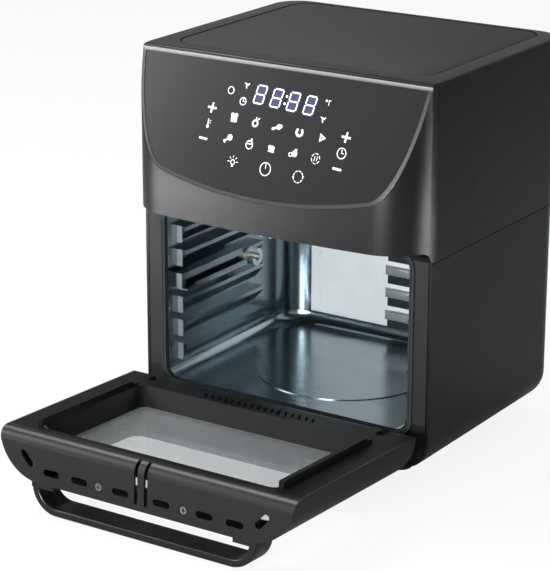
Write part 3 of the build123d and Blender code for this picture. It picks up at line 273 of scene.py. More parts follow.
finishes = {
    "housing": mouldedFinish("housingBlack", (0.006, 0.006, 0.007), 0.26, shine=0.33),
    "lid": mouldedFinish("lidGrey", (0.030, 0.031, 0.032), 0.72, shine=0.3, grain=0.4, grainScale=900,
                         drift=0.04),
    "panel": panelFinish(),
    "bezel": bezelFinish(),
    "frame": mouldedFinish("framePaint", (0.012, 0.012, 0.013), 0.40, shine=0.3, grain=0.35, grainScale=600),
    "sill": mouldedFinish("sillBlack", (0.006, 0.006, 0.006), 0.34, shine=0.35),
    "doorShell": mouldedFinish("doorPaint", (0.007, 0.007, 0.0075), 0.36, shine=0.32),
    "doorInner": mouldedFinish("doorInnerBlack", (0.0035, 0.0035, 0.0035), 0.46, shine=0.16),
    "handle": mouldedFinish("handleBlack", (0.006, 0.006, 0.0065), 0.26, shine=0.4),
    "seal": rubberFinish("sealRubber", (0.010, 0.010, 0.010)),
    "feet": rubberFinish("footRubber", (0.014, 0.014, 0.014)),
    # The chamber's walls are one steel in lit and shaded copies: the back wall painted much lighter and half
    # diffuse for its bright reflection, the side walls and floor painted darker
    "wallSteel": steelFinish("wallSteel", (0.20, 0.255, 0.28), 0.20, lines=(260, 3, 260), wave=0.06,
                             smudge=0.03),
    "backSteel": steelFinish("backSteel", (0.90, 0.95, 0.96), 0.30, lines=(260, 260, 3), wave=0.05,
                             smudge=0.03, metal=0.5),
    "floorSteel": steelFinish("floorSteel", (0.27, 0.33, 0.355), 0.20, wave=0.05, smudge=0.03),
    "guardSteel": steelFinish("guardSteel", (0.55, 0.60, 0.63), 0.35, wave=0.1, smudge=0.05),
    "track": steelFinish("trackSteel", (0.20, 0.23, 0.25), 0.18, lines=(260, 3, 260), wave=0.05,
                         smudge=0.03),
    "zinc": steelFinish("zincPlate", (0.48, 0.49, 0.50), 0.42, lines=(40, 40, 40), wave=0.2),
    "coverPaint": mouldedFinish("coverPaint", (0.018, 0.018, 0.019), 0.5, grain=0.45, grainScale=700),
    "bright": steelFinish("brightSteel", (0.72, 0.73, 0.74), 0.18, lines=(200, 200, 200), wave=0.1),
    "nose": steelFinish("rolledNose", (0.62, 0.66, 0.68), 0.24, wave=0.04, smudge=0.03, metal=0.8),
    # a dark finish for the painted shade between the louvres
    "paintedGapShade": mouldedFinish("paintedGapShade", (0.010, 0.014, 0.016), 0.5, shine=0.2),
    "screw": steelFinish("screwSteel", (0.32, 0.33, 0.34), 0.34, lines=(300, 300, 300), wave=0.1),
    "fan": steelFinish("fanAluminium", (0.78, 0.79, 0.80), 0.32, lines=(120, 120, 3), wave=0.2),
    "laminated": steelFinish("laminatedCore", (0.24, 0.24, 0.25), 0.5, lines=(3, 3, 900), wave=0.1),
    "heater": heaterFinish(),
    "winding": windingFinish(),
    "board": boardFinish(),
    "ivory": mouldedFinish("ivoryPlastic", (0.62, 0.61, 0.57), 0.45, drift=0.03),
    "innerGlass": glassFinish("innerGlass", (0.50, 0.54, 0.55), 0.10, 0.45),
    "outerGlass": glassFinish("outerGlass", (0.42, 0.44, 0.45), 0.16, 0.5),
    "lampGlass": glassFinish("lampGlass", (0.85, 0.84, 0.78), 0.45, 0.4, 0.25),
}

nodeFinish = {
    "upper_housing": "housing", "lower_housing": "housing", "rear_cover": "coverPaint", "top_plate": "lid",
    "panel_bezel": "bezel", "control_panel": "panel", "exhaust_grille": "housing", "rear_screws": "screw",
    "base_plate": "zinc", "feet": "feet", "foot_screws": "screw", "cord_inlet": "housing",
    "front_frame": "frame", "front_sill": "sill", "mouth_seal": "seal", "chamber_left_wall": "wallSteel",
    "chamber_right_wall": "wallSteel", "chamber_back_wall": "backSteel", "chamber_floor": "floorSteel",
    "chamber_ceiling": "floorSteel", "heater_guard": "guardSteel", "fan_shroud": "guardSteel",
    "heater_element": "heater", "heater_clips": "zinc", "fan_impeller": "fan", "motor_shaft": "bright",
    "fan_nut": "screw", "cooling_fan": "fan", "motor_bridge": "zinc", "motor_stack": "laminated",
    "motor_rotor": "laminated", "motor_coil": "winding", "motor_bearings": "zinc", "power_board": "board",
    "thermal_cutout": "ivory", "temperature_probe": "bright", "spit_track": "track", "spit_rest": "zinc",
    "spit_motor": "zinc", "spit_drive": "bright", "lamp_lens": "lampGlass", "lamp_holder": "zinc",
    "lamp_bulb": "lampGlass", "control_carrier": "ivory", "control_board": "board",
    "display_module": "panel", "interlock_switch": "ivory", "switch_plunger": "ivory",
    "door_catch": "zinc", "door_outer_shell": "doorShell", "door_screws": "screw",
    "door_inner_frame": "doorInner", "inner_glass": "innerGlass", "outer_glass": "outerGlass",
    "glass_clips": "zinc", "hinge_pins": "bright", "handle": "handle",
    "handle_screws": "screw", "hinge_brackets": "zinc",
}


def dressNodes():
    for name, node in nodes.items():
        node.material_slots[0].material = finishes[nodeFinish[name]]
    print("nodes dressed:", len(nodes))


# Pieces
def deselect():
    bpy.ops.object.select_all(action="DESELECT")


def edit(piece):
    deselect()
    piece.select_set(True)
    bpy.context.view_layer.objects.active = piece
    bpy.ops.object.mode_set(mode="EDIT")


def pickFaces(piece, wanted):
    bpy.ops.mesh.select_mode(type="FACE")
    bpy.ops.mesh.select_all(action="DESELECT")
    mesh = bmesh.from_edit_mesh(piece.data)
    for face in mesh.faces:
        if wanted(face):
            face.select_set(True)
    bmesh.update_edit_mesh(piece.data)


def pickEdges(piece, wanted):
    bpy.ops.mesh.select_mode(type="EDGE")
    bpy.ops.mesh.select_all(action="DESELECT")
    mesh = bmesh.from_edit_mesh(piece.data)
    for edge in mesh.edges:
        if wanted(edge):
            edge.select_set(True)
    bmesh.update_edit_mesh(piece.data)


def leave():
    bpy.ops.object.mode_set(mode="OBJECT")


def settled(piece, name):
    deselect()
    piece.select_set(True)
    bpy.context.view_layer.objects.active = piece
    bpy.ops.object.transform_apply(location=True, rotation=True, scale=True)
    piece.name = name
    return piece


def withModifier(piece, kind, **settings):
    deselect()
    piece.select_set(True)
    bpy.context.view_layer.objects.active = piece
    made = piece.modifiers.new(kind.lower(), kind)
    for key, value in settings.items():
        setattr(made, key, value)
    bpy.ops.object.modifier_apply(modifier=made.name)


def cutAway(piece, *tools):
    for tool in tools:
        withModifier(piece, "BOOLEAN", operation="DIFFERENCE", solver="EXACT", object=tool)
        bpy.data.objects.remove(tool)


def box(x0, x1, y0, y1, z0, z1):
    deselect()
    middle = ((x0 + x1) / 2 * mm, (y0 + y1) / 2 * mm, (z0 + z1) / 2 * mm)
    bpy.ops.mesh.primitive_cube_add(size=mm, location=middle)
    bpy.context.object.scale = (x1 - x0, y1 - y0, z1 - z0)
    return settled(bpy.context.object, "block")


def rounded(piece, wanted, radius, segments):
    edit(piece)
    pickEdges(piece, wanted)
    bpy.ops.mesh.bevel(offset=radius * mm, segments=segments, affect="EDGES")
    leave()


def smoothed(piece, angle=32):
    deselect()
    piece.select_set(True)
    bpy.context.view_layer.objects.active = piece
    bpy.ops.object.shade_smooth_by_angle(angle=math.radians(angle))


def upright(edge):
    first, second = edge.verts
    return abs(first.co.z - second.co.z) > 0.9 * edge.calc_length()


def joined(parts, name):
    deselect()
    for part in parts:
        part.select_set(True)
    bpy.context.view_layer.objects.active = parts[0]
    if len(parts) > 1:
        bpy.ops.object.join()
    made = bpy.context.object
    made.name = name
    bpy.ops.object.transform_apply(location=True, rotation=True, scale=True)
    return made


def raised(piece, rise):
    twin = piece.copy()
    twin.data = piece.data.copy()
    bpy.context.collection.objects.link(twin)
    twin.location.z += rise * mm
    return twin


def finished(piece, finish, body):
    piece.data.materials.clear()
    piece.data.materials.append(finish)
    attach(piece, body)


# Upper body: an upright column with a bowed front and round corners, its front sliced at a slant
hood = {
    "half": 159.0, "front": -155.0, "rear": 141.7, "bow": 1400.0, "frontCorner": 50.0, "rearCorner": 30.0,
    "low": 225.8, "top": 390.0, "wall": 3.0,
    "sliceFoot": 267.0, "sliceTilt": 18.2, "sliceRound": 0.7, "topRound": 2.4,
    "recess": 1.6, "rim": 0.6, "headroom": 2.6,
    "chinLow": 236.4, "chinTop": 239.5, "chinRear": -113.0, "tuckRound": 11.0,
    "vent": (62.0, 296.0, 344.0, 4.3),
    "plunger": (-121.0, 2.1), "catchSlots": (-5.4, 5.4), "catchSlot": (1.6, -144.9, -128.6),
    "lid": {"half": 139.0, "front": -97.1, "rear": 135.0, "corner": 24.0, "deep": 1.6, "gap": 1.6,
            "sunk": 0.2, "edgeRound": 0.3},
    "toolReach": 200.0, "bedOver": 2.0,
}
sliceTilt = math.radians(hood["sliceTilt"])
sliceNormal = Vector((0, -math.cos(sliceTilt), math.sin(sliceTilt)))
slicePlace = Vector((0, hood["front"], hood["sliceFoot"])) * mm


def column(inset, low, high):
    half, front, rear = hood["half"] - inset, hood["front"] + inset, hood["rear"] - inset
    bow, corner, rearCorner = hood["bow"] - inset, hood["frontCorner"] - inset, hood["rearCorner"] - inset
    sweep = math.asin((half - corner) / (bow - corner))
    cornerY = front + bow - math.cos(sweep) * (bow - corner)
    quarter = math.pi / 2

    def spun(x, y, angle, steps):  # with no window, spin turns the other way
        bpy.ops.mesh.spin(steps=steps, angle=-angle, center=(x * mm, y * mm, low * mm), axis=(0, 0, 1))

    def drawn(x, y):
        bpy.ops.mesh.extrude_region_move(TRANSFORM_OT_translate={"value": (x * mm, y * mm, 0)})

    deselect()
    bpy.ops.mesh.primitive_plane_add(size=mm, location=(0, front * mm, low * mm))
    made = settled(bpy.context.object, "column")
    edit(made)
    bpy.ops.mesh.select_mode(type="VERT")
    bpy.ops.mesh.select_all(action="SELECT")
    bpy.ops.mesh.merge(type="CENTER")
    spun(0, front + bow, sweep, 16)
    spun(half - corner, cornerY, quarter - sweep, 20)
    drawn(0, rear - rearCorner - cornerY)
    spun(half - rearCorner, rear - rearCorner, quarter, 14)
    drawn(rearCorner - half, 0)
    bpy.ops.mesh.select_all(action="SELECT")
    bpy.ops.mesh.duplicate()
    bpy.ops.transform.resize(value=(-1, 1, 1), center_override=(0, 0, 0))
    bpy.ops.mesh.select_all(action="SELECT")
    bpy.ops.mesh.remove_doubles(threshold=0.01 * mm)
    bpy.ops.mesh.edge_face_add()
    bpy.ops.mesh.extrude_region_move(TRANSFORM_OT_translate={"value": (0, 0, (high - low) * mm)})
    bpy.ops.mesh.select_all(action="SELECT")
    bpy.ops.mesh.normals_make_consistent(inside=False)
    leave()
    return made


def sliced(piece, inset=0.0):
    edit(piece)
    bpy.ops.mesh.select_all(action="SELECT")
    bpy.ops.mesh.bisect(plane_co=slicePlace - sliceNormal * inset * mm, plane_no=sliceNormal, use_fill=True,
                        clear_outer=True)
    leave()


def onSlice(face):
    return face.normal.dot(sliceNormal) > 0.9999


def roundedPlate(half, front, rear, low, high, corner):
    plate = box(-half, half, front, rear, low, high)
    rounded(plate, upright, corner, 12)
    return plate


# The clean outline of the slice, cut off below the rounded top edge
def sliceOutline():
    whole = column(0, hood["low"], hood["top"])
    sliced(whole)
    edit(whole)
    pickFaces(whole, lambda face: not onSlice(face))
    bpy.ops.mesh.delete(type="FACE")
    bpy.ops.mesh.select_all(action="SELECT")
    cutHeight = (hood["top"] - hood["headroom"]) * mm
    bpy.ops.mesh.bisect(plane_co=(0, 0, cutHeight), plane_no=(0, 0, 1), clear_outer=True)
    leave()
    return whole


# A sheet with the slice's outline, drawn in by a margin, its upper side at a height over the slice
def sliceSheet(outline, margin, height, name):
    sheet = outline.copy()
    sheet.data = outline.data.copy()
    bpy.context.collection.objects.link(sheet)
    sheet.name = name
    edit(sheet)
    bpy.ops.mesh.select_all(action="SELECT")
    bpy.ops.mesh.inset(thickness=margin * mm)
    bpy.ops.mesh.select_all(action="INVERT")
    bpy.ops.mesh.delete(type="FACE")
    bpy.ops.mesh.select_all(action="SELECT")
    bpy.ops.transform.translate(value=sliceNormal * height * mm)
    leave()
    return sheet


def buildHood(outline):
    top, low = hood["top"], hood["low"]
    shell = column(0, low, top)
    sliced(shell)
    rounded(shell, lambda edge: all(abs(v.co.z - top * mm) < 1e-6 for v in edge.verts), hood["topRound"], 5)
    rounded(shell, lambda edge: any(onSlice(f) for f in edge.link_faces) and len(edge.link_faces) == 2
            and 0.05 < edge.calc_face_angle() and all(v.co.z < (top - 6) * mm for v in edge.verts),
            hood["sliceRound"], 3)
    over, reach, rear = hood["bedOver"], hood["toolReach"], hood["chinRear"]
    bed = sliceSheet(outline, hood["rim"], over, "bed")
    withModifier(bed, "SOLIDIFY", thickness=(hood["recess"] + over) * mm, offset=-1.0)
    hollow = column(hood["wall"], low - 12, top - hood["wall"])
    sliced(hollow, hood["wall"])
    front = hood["front"] - 12
    cutAway(hollow, box(-reach, reach, front, rear, low - 20, hood["chinTop"]))
    tuck = box(-reach, reach, front, rear, low - 20, hood["chinLow"])
    rounded(tuck, lambda edge: all(v.co.y > (rear - 1) * mm and v.co.z > (hood["chinLow"] - 1) * mm
                                   for v in edge.verts), hood["tuckRound"], 8)
    ventHalf, ventLow, ventHigh, ventDeep = hood["vent"]
    vent = box(-ventHalf, ventHalf, hood["rear"] - ventDeep, hood["rear"] + 5, ventLow, ventHigh)
    slotHalf, slotFront, slotRear = hood["catchSlot"]
    slots = [box(x - slotHalf, x + slotHalf, slotFront, slotRear, hood["chinLow"] - 2, hood["chinTop"] + 2)
             for x in hood["catchSlots"]]
    deselect()
    bpy.ops.mesh.primitive_cylinder_add(vertices=24, radius=hood["plunger"][1] * mm, depth=12 * mm,
                                        location=(0, hood["plunger"][0] * mm, hood["chinTop"] * mm))
    plungerHole = settled(bpy.context.object, "hole")
    lid = hood["lid"]
    lidBed = roundedPlate(lid["half"], lid["front"], lid["rear"], top - lid["deep"], top + 3, lid["corner"])
    cutAway(shell, bed, hollow, tuck, vent, *slots, plungerHole, lidBed)
    smoothed(shell)
    shell.name = "hood_shell"
    finished(shell, finishes["housing"], "frame")
    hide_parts("upper_housing")
    print("hood:", len(shell.data.polygons), "faces")


def buildLid():
    lid = hood["lid"]
    gap = lid["gap"]
    plate = roundedPlate(lid["half"] - gap, lid["front"] + gap, lid["rear"] - gap, hood["top"] - lid["deep"],
                         hood["top"] - lid["sunk"], lid["corner"] - gap)
    rounded(plate, lambda edge: all(v.co.z > (hood["top"] - 0.5) * mm for v in edge.verts),
            lid["edgeRound"], 2)
    smoothed(plate)
    plate.name = "lid_plate"
    finished(plate, finishes["lid"], "frame")
    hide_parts("top_plate")
    print("lid:", len(plate.data.polygons), "faces")


panel = {"bezelWidth": 3.4, "bezelFall": 0.5, "bezelRise": 0.1, "gap": 0.4, "faceLow": 0.5, "faceSheet": 1.0}


def buildPanel(outline):
    outer = hood["rim"] + panel["gap"]
    rim = sliceSheet(outline, outer, -panel["bezelFall"], "panel_rim")
    edit(rim)
    bpy.ops.mesh.select_all(action="SELECT")
    bpy.ops.mesh.inset(thickness=panel["bezelWidth"] * mm)
    bpy.ops.transform.translate(value=sliceNormal * (panel["bezelRise"] + panel["bezelFall"]) * mm)
    bpy.ops.mesh.delete(type="ONLY_FACE")
    leave()
    withModifier(rim, "SOLIDIFY", thickness=(hood["recess"] - panel["bezelFall"]) * mm, offset=-1.0)
    smoothed(rim)
    finished(rim, finishes["bezel"], "frame")
    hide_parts("panel_bezel")
    face = sliceSheet(outline, outer + panel["bezelWidth"] + panel["gap"], -panel["faceLow"], "panel_face")
    withModifier(face, "SOLIDIFY", thickness=panel["faceSheet"] * mm, offset=-1.0)
    smoothed(face)
    finished(face, finishes["panel"], "frame")
    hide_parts("control_panel")
    bpy.data.objects.remove(outline)
    print("panel: rim and face")


# A dark band behind the joint between the upper and the lower body
seam = {"inset": 0.9, "low": 223.4, "high": 227.4, "inner": 2.6, "over": 3.0, "behindChin": 0.4}


def buildSeam():
    reach = hood["toolReach"]
    band = column(seam["inset"], seam["low"], seam["high"])
    core = column(seam["inner"], seam["low"] - seam["over"], seam["high"] + seam["over"])
    front = box(-reach, reach, -reach, hood["chinRear"] + seam["behindChin"], 200, 240)
    cutAway(band, core, front)
    smoothed(band)
    band.name = "seam_band"
    finished(band, finishes["seal"], "frame")
    print("seam:", len(band.data.polygons), "faces")


# Bright rolled noses on the rear wall's louvres, and dark strips between them: painted shade standing for
# the shadowed gaps
louvres = {"rows": 6, "firstZ": 88.5, "pitch": 24.0, "xs": (-16.4, 92.4), "wallY": 105.0, "proud": 3.6,
           "high": 0.3, "low": -10.3, "round": 2.4,
           "strip": {"low": -19.6, "high": -10.4, "proud": 0.25, "behind": 0.02, "shorter": 2.0}}


def everyRow(piece):
    return [piece] + [raised(piece, row * louvres["pitch"]) for row in range(1, louvres["rows"])]


def buildLouvres():
    x0, x1 = louvres["xs"]
    wall, ledge, strip = louvres["wallY"], louvres["firstZ"], louvres["strip"]
    nose = box(x0, x1, wall - louvres["proud"], wall, ledge + louvres["low"], ledge + louvres["high"])
    rounded(nose, lambda edge: all(v.co.y < (wall - 1) * mm for v in edge.verts), louvres["round"], 4)
    slats = joined(everyRow(nose), "louvre_noses")
    smoothed(slats)
    finished(slats, finishes["nose"], "frame")
    # flat dark strips just off the wall: painted shade where the gaps between louvres would be
    dark = box(x0 + strip["shorter"], x1 - strip["shorter"], wall - strip["proud"], wall - strip["behind"],
               ledge + strip["low"], ledge + strip["high"])
    shadows = joined(everyRow(dark), "louvre_painted_shade")
    finished(shadows, finishes["paintedGapShade"], "frame")
    print("louvres:", len(slats.data.polygons), "faces")


# Thin plates of lighter steel on the rails' front ends, a painted highlight for their glint, cut off at a
# slant below
railEnds = {"wallX": 134.7, "tipX": 128.6, "y": -95.0, "thick": 0.5, "rise": 0.2, "nose": -4.2,
            "foot": -16.6}


def buildRailEnds():
    caps = []
    ledge, y = louvres["firstZ"], railEnds["y"]
    for side in (-1, 1):
        wallX, tipX = side * railEnds["wallX"], side * railEnds["tipX"]
        cap = box(min(wallX, tipX), max(wallX, tipX), y - railEnds["thick"], y, ledge + railEnds["foot"],
                  ledge + railEnds["rise"])
        tip = Vector((tipX, 0, ledge + railEnds["nose"])) * mm
        root = Vector((wallX, 0, ledge + railEnds["foot"])) * mm
        slant = (tip - root).cross(Vector((0, side, 0)))
        edit(cap)
        bpy.ops.mesh.select_all(action="SELECT")
        bpy.ops.mesh.bisect(plane_co=tip, plane_no=slant, use_fill=True, clear_outer=True)
        leave()
        caps += everyRow(cap)
    ends = joined(caps, "rail_end_painted_highlights")
    # the lighter steel on these plates is a painted highlight
    finished(ends, finishes["nose"], "frame")
    print("rail ends:", len(ends.data.polygons), "faces")


# Dark crosses on the screw heads that show on the door's end and on the rear cover: flat marks of painted
# shade standing for the cross recesses
crossHeads = {"arm": 4.6, "width": 1.0,
              "door": {"xs": (-46.2, 46.2), "zs": (42.6,), "face": -342.56, "deep": 0.12},
              "rear": {"xs": (-116.0, 116.0), "zs": (92.0, 148.0, 204.0), "face": 145.7, "deep": 0.3}}


def buildCrosses(side, body):
    spots, half, thin = crossHeads[side], crossHeads["arm"] / 2, crossHeads["width"] / 2
    low, high = spots["face"] - spots["deep"] / 2, spots["face"] + spots["deep"] / 2
    arms = []
    for x in spots["xs"]:
        for z in spots["zs"]:
            arms.append(box(x - half, x + half, low, high, z - thin, z + thin))
            arms.append(box(x - thin, x + thin, low, high, z - half, z + half))
    crosses = joined(arms, side + "_screw_crosses")
    # the black finish on these crosses is painted shade for the recesses
    finished(crosses, finishes["sill"], body)
    print(side, "screw crosses:", len(arms) // 2)


# Printed marks start flat in front of the machine and are then laid on the sloping face
printLay = {"startY": -0.20, "lift": 0.00012, "tilt": -0.048}


def mark(kind, x, z, size, turn=0.0, sides=28, ring=None):
    place = (x * mm, printLay["startY"], z * mm)
    deselect()
    if kind == "bar":
        bpy.ops.mesh.primitive_plane_add(size=1, location=place, rotation=(math.pi / 2, 0, 0))
        bpy.context.object.scale = (size[0] * mm, size[1] * mm, 1)
    else:
        bpy.ops.mesh.primitive_circle_add(vertices=sides, radius=size * mm, fill_type="NGON", location=place,
                                          rotation=(math.pi / 2, 0, 0))
    made = bpy.context.object
    if turn:
        made.rotation_euler = (math.pi / 2, -math.radians(turn), 0)
    if ring:
        bpy.ops.object.mode_set(mode="EDIT")
        bpy.ops.mesh.select_all(action="SELECT")
        bpy.ops.mesh.inset(thickness=ring * mm)
        bpy.ops.mesh.delete(type="FACE")
        bpy.ops.object.mode_set(mode="OBJECT")
    return made


def laidOnPanel(piece, lift):
    wrap = piece.modifiers.new("lay", "SHRINKWRAP")
    wrap.target = bpy.data.objects["panel_face"]
    wrap.wrap_method = "PROJECT"
    wrap.use_project_y = True
    wrap.use_positive_direction = True
    wrap.use_negative_direction = False
    wrap.offset = lift
    bpy.context.view_layer.objects.active = piece
    bpy.ops.object.modifier_apply(modifier="lay")


def place(x, z):
    return x, z + printLay["tilt"] * x


keyPlaces = {
    "plus": ((-68.1, 338.9), (78.7, 338.9)),
    "minus": ((-72.3, 310.9), (74.8, 310.9)),
    "thermometer": (-69.8, 324.6),
    "clockRight": (76.8, 324.8),
    "topRow": (-42.4, -18.4, 5.6, 29.6, 53.8),
    "topRowZ": 334.4,
    "lowRow": (-45.1, -21.2, 2.8, 26.9, 51.1),
    "lowRowZ": 315.5,
    "bottomRow": (-35.7, 0.4, 36.2),
    "bottomRowZ": 296.9,
    "ring": (-50.8, 357.2),
    "heatFan": (-34.5, 364.6),
    "clockLeft": (-35.9, 350.0),
    "degree": (53.6, 364.2),
    "smallFan": (51.7, 349.8),
}


def symbolStrokes():
    strokes = []
    for x, z in (place(*spot) for spot in keyPlaces["plus"]):
        strokes += [mark("bar", x, z, (9.4, 1.9), -3), mark("bar", x, z, (1.9, 9.2), -8)]
    for x, z in (place(*spot) for spot in keyPlaces["minus"]):
        strokes.append(mark("bar", x, z, (9.2, 1.9), -4))
    x, z = place(*keyPlaces["thermometer"])
    strokes += [mark("disc", x, z - 2.6, 1.5), mark("bar", x, z + 1.2, (1.1, 6.0)),
                mark("bar", x + 2.2, z + 2.6, (1.6, 0.6)), mark("bar", x + 2.2, z + 0.6, (1.6, 0.6))]
    for key, radius in (("clockRight", 4.9), ("clockLeft", 3.6)):
        x, z = place(*keyPlaces[key])
        strokes += [mark("disc", x, z, radius, ring=0.8),
                    mark("bar", x, z + radius * 0.3, (0.7, radius * 0.7)),
                    mark("bar", x + radius * 0.22, z, (radius * 0.55, 0.7))]
    x, z = place(*keyPlaces["ring"])
    strokes.append(mark("disc", x, z, 3.5, ring=0.75))
    x, z = place(*keyPlaces["degree"])
    strokes += [mark("disc", x - 1.4, z + 1.6, 1.1, ring=0.5),
                mark("bar", x + 1.2, z, (0.7, 4.6)),
                mark("bar", x + 2.4, z + 2.0, (2.2, 0.7))]
    for key in ("heatFan", "smallFan"):
        x, z = place(*keyPlaces[key])
        for turn in (20, 140, 260):
            dx, dz = 1.7 * math.cos(math.radians(turn)), 1.7 * math.sin(math.radians(turn))
            strokes.append(mark("bar", x + dx, z + dz, (2.9, 1.1), turn + 25))
        strokes.append(mark("disc", x, z, 0.6, sides=10))
    return strokes


def foodStrokes():
    top = [place(x, keyPlaces["topRowZ"]) for x in keyPlaces["topRow"]]
    low = [place(x, keyPlaces["lowRowZ"]) for x in keyPlaces["lowRow"]]
    strokes = []
    # a slice of bread
    x, z = top[0]
    strokes += [mark("bar", x, z - 0.8, (6.4, 6.0)), mark("disc", x - 2.0, z + 2.4, 1.9, sides=14),
                mark("disc", x + 2.0, z + 2.4, 1.9, sides=14)]
    # a round bun with a stick
    x, z = top[1]
    strokes += [mark("disc", x - 0.4, z - 0.8, 3.4, ring=1.6), mark("bar", x + 2.6, z + 3.0, (3.4, 1.0), 40),
                mark("bar", x + 0.2, z + 3.0, (3.4, 1.0), 80)]
    # a fish fillet
    x, z = top[2]
    strokes += [mark("disc", x + 1.6, z + 0.6, 2.5, sides=16), mark("disc", x + 3.6, z + 1.2, 1.7, sides=14),
                mark("bar", x - 2.2, z - 0.8, (5.0, 2.0), 22), mark("disc", x - 4.6, z - 1.8, 1.3, sides=10)]
    # a curled prawn, as an open ring
    x, z = top[3]
    for turn in range(-220, 41, 32):
        dx, dz = 3.1 * math.cos(math.radians(turn)), 3.1 * math.sin(math.radians(turn))
        strokes.append(mark("disc", x + dx, z + dz, 1.25, sides=12))
    # a triangular slice
    x, z = top[4]
    strokes += [mark("disc", x, z - 0.4, 4.4, turn=-90, sides=3, ring=1.1),
                mark("disc", x - 0.8, z + 0.6, 0.9, sides=10),
                mark("disc", x + 1.0, z - 1.0, 0.8, sides=10)]
    # a drumstick
    x, z = low[0]
    strokes += [mark("disc", x + 1.8, z + 1.2, 2.8, sides=18), mark("bar", x - 1.8, z - 1.2, (4.8, 1.3), 34),
                mark("disc", x - 3.8, z - 2.2, 1.0, sides=10), mark("disc", x - 3.2, z - 3.2, 1.0, sides=10)]
    # a bowl with a lid
    x, z = low[1]
    strokes += [mark("disc", x, z - 1.2, 4.0, ring=0.8), mark("bar", x, z - 0.4, (7.0, 1.0)),
                mark("bar", x + 0.6, z + 2.4, (4.4, 1.3), 12), mark("disc", x + 1.8, z + 3.7, 0.9, sides=10)]
    # a folded leaf
    x, z = low[2]
    strokes += [mark("disc", x - 1.4, z + 0.8, 2.2, sides=5), mark("disc", x + 1.2, z + 0.2, 2.6, sides=6),
                mark("bar", x + 0.2, z - 2.6, (6.6, 1.3), -6)]
    # fruit, one large and one small
    x, z = low[3]
    strokes += [mark("disc", x + 1.4, z, 2.9, sides=18), mark("disc", x - 2.8, z - 1.2, 2.0, ring=0.7),
                mark("bar", x + 1.8, z + 3.4, (0.9, 2.0), 10), mark("bar", x + 3.0, z + 3.4, (2.0, 0.9), 30)]
    # warm air in a broken ring
    x, z = low[4]
    for turn in range(20, 360, 60):
        dx, dz = 4.2 * math.cos(math.radians(turn)), 4.2 * math.sin(math.radians(turn))
        strokes.append(mark("bar", x + dx, z + dz, (3.0, 0.7), turn + 90))
    for step in (-1.3, 1.3):
        strokes += [mark("bar", x + step + 0.3, z + 1.0, (0.6, 2.2), 14),
                    mark("bar", x + step, z - 1.0, (0.6, 2.2), -14)]
    return strokes


def bottomStrokes():
    spots = [place(x, keyPlaces["bottomRowZ"]) for x in keyPlaces["bottomRow"]]
    # lamp with rays
    x, z = spots[0]
    strokes = [mark("disc", x, z - 0.6, 2.4, ring=0.7), mark("bar", x, z - 3.9, (2.0, 1.6))]
    for turn in (0, 45, 90, 135, 180):
        dx, dz = 4.6 * math.cos(math.radians(turn)), 4.6 * math.sin(math.radians(turn))
        strokes.append(mark("bar", x + dx, z - 0.2 + dz, (2.2, 0.6), turn))
    # power ring
    x, z = spots[1]
    strokes += [mark("disc", x, z, 6.0, sides=40, ring=0.8), mark("bar", x, z + 2.6, (0.8, 4.2))]
    # turning arrows
    x, z = spots[2]
    for turn in range(0, 360, 40):
        dx, dz = 5.0 * math.cos(math.radians(turn)), 5.0 * math.sin(math.radians(turn))
        strokes.append(mark("bar", x + dx, z + dz, (2.5, 0.75), turn + 90))
    strokes += [mark("disc", x + 5.0, z + 0.8, 1.3, turn=-90, sides=3),
                mark("disc", x - 5.0, z - 0.8, 1.3, turn=90, sides=3)]
    return strokes


digits = {"centres": (-18.4, -0.3, 17.8, 35.8), "z": 358.9, "half": 5.0, "rise": 7.9, "stroke": 1.2,
          "slant": 0.20, "flatLength": 1.72, "flatTurn": -2, "sideLength": 0.84, "sideTurn": -11,
          "colonX": 9.4, "colonRise": 3.2, "colonDot": 1.1, "litLift": 2.5}


def digitStrokes():
    strokes, glows = [], []
    for centre in digits["centres"]:
        x0, z0 = place(centre, digits["z"])
        half, rise, stroke = digits["half"], digits["rise"], digits["stroke"]
        for step in (-1, 0, 1):
            x = x0 + step * rise * digits["slant"]
            strokes.append(mark("bar", x, z0 + step * rise, (half * digits["flatLength"], stroke),
                                digits["flatTurn"]))
        for level in (-0.5, 0.5):
            for side in (-1, 1):
                x = x0 + side * half + level * rise * digits["slant"]
                strokes.append(mark("bar", x, z0 + level * rise, (stroke, rise * digits["sideLength"]),
                                    digits["sideTurn"]))
        glows.append(mark("bar", x0, z0, (half * 2, rise * 2), 0))
    x0, z0 = place(digits["colonX"], digits["z"])
    for step in (-1, 1):
        x = x0 + step * digits["colonRise"] * digits["slant"]
        strokes.append(mark("disc", x, z0 + step * digits["colonRise"], digits["colonDot"], sides=14))
    return strokes, glows


def buildPanelPrint():
    symbols = joined(symbolStrokes() + foodStrokes() + bottomStrokes(), "key_symbols")
    laidOnPanel(symbols, printLay["lift"])
    # the printed symbols also glow faintly: painted light that keeps them bright on the dark face
    finished(symbols, lightFinish("symbolPrintWithPaintedGlow", (0.74, 0.75, 0.76), 0.30), "frame")
    strokes, glows = digitStrokes()
    lit = joined(strokes, "display_digits")
    laidOnPanel(lit, printLay["lift"] * digits["litLift"])
    finished(lit, lightFinish("digitLight", (0.80, 0.83, 1.0), 0.95), "frame")
    glow = joined(glows, "display_glow")
    laidOnPanel(glow, printLay["lift"])
    smoke = lightFinish("digitGlow", (0.012, 0.014, 0.065), 0.08, (0.009, 0.011, 0.05))
    finished(glow, smoke, "frame")
    print("panel print laid:", len(symbols.data.polygons), "faces")


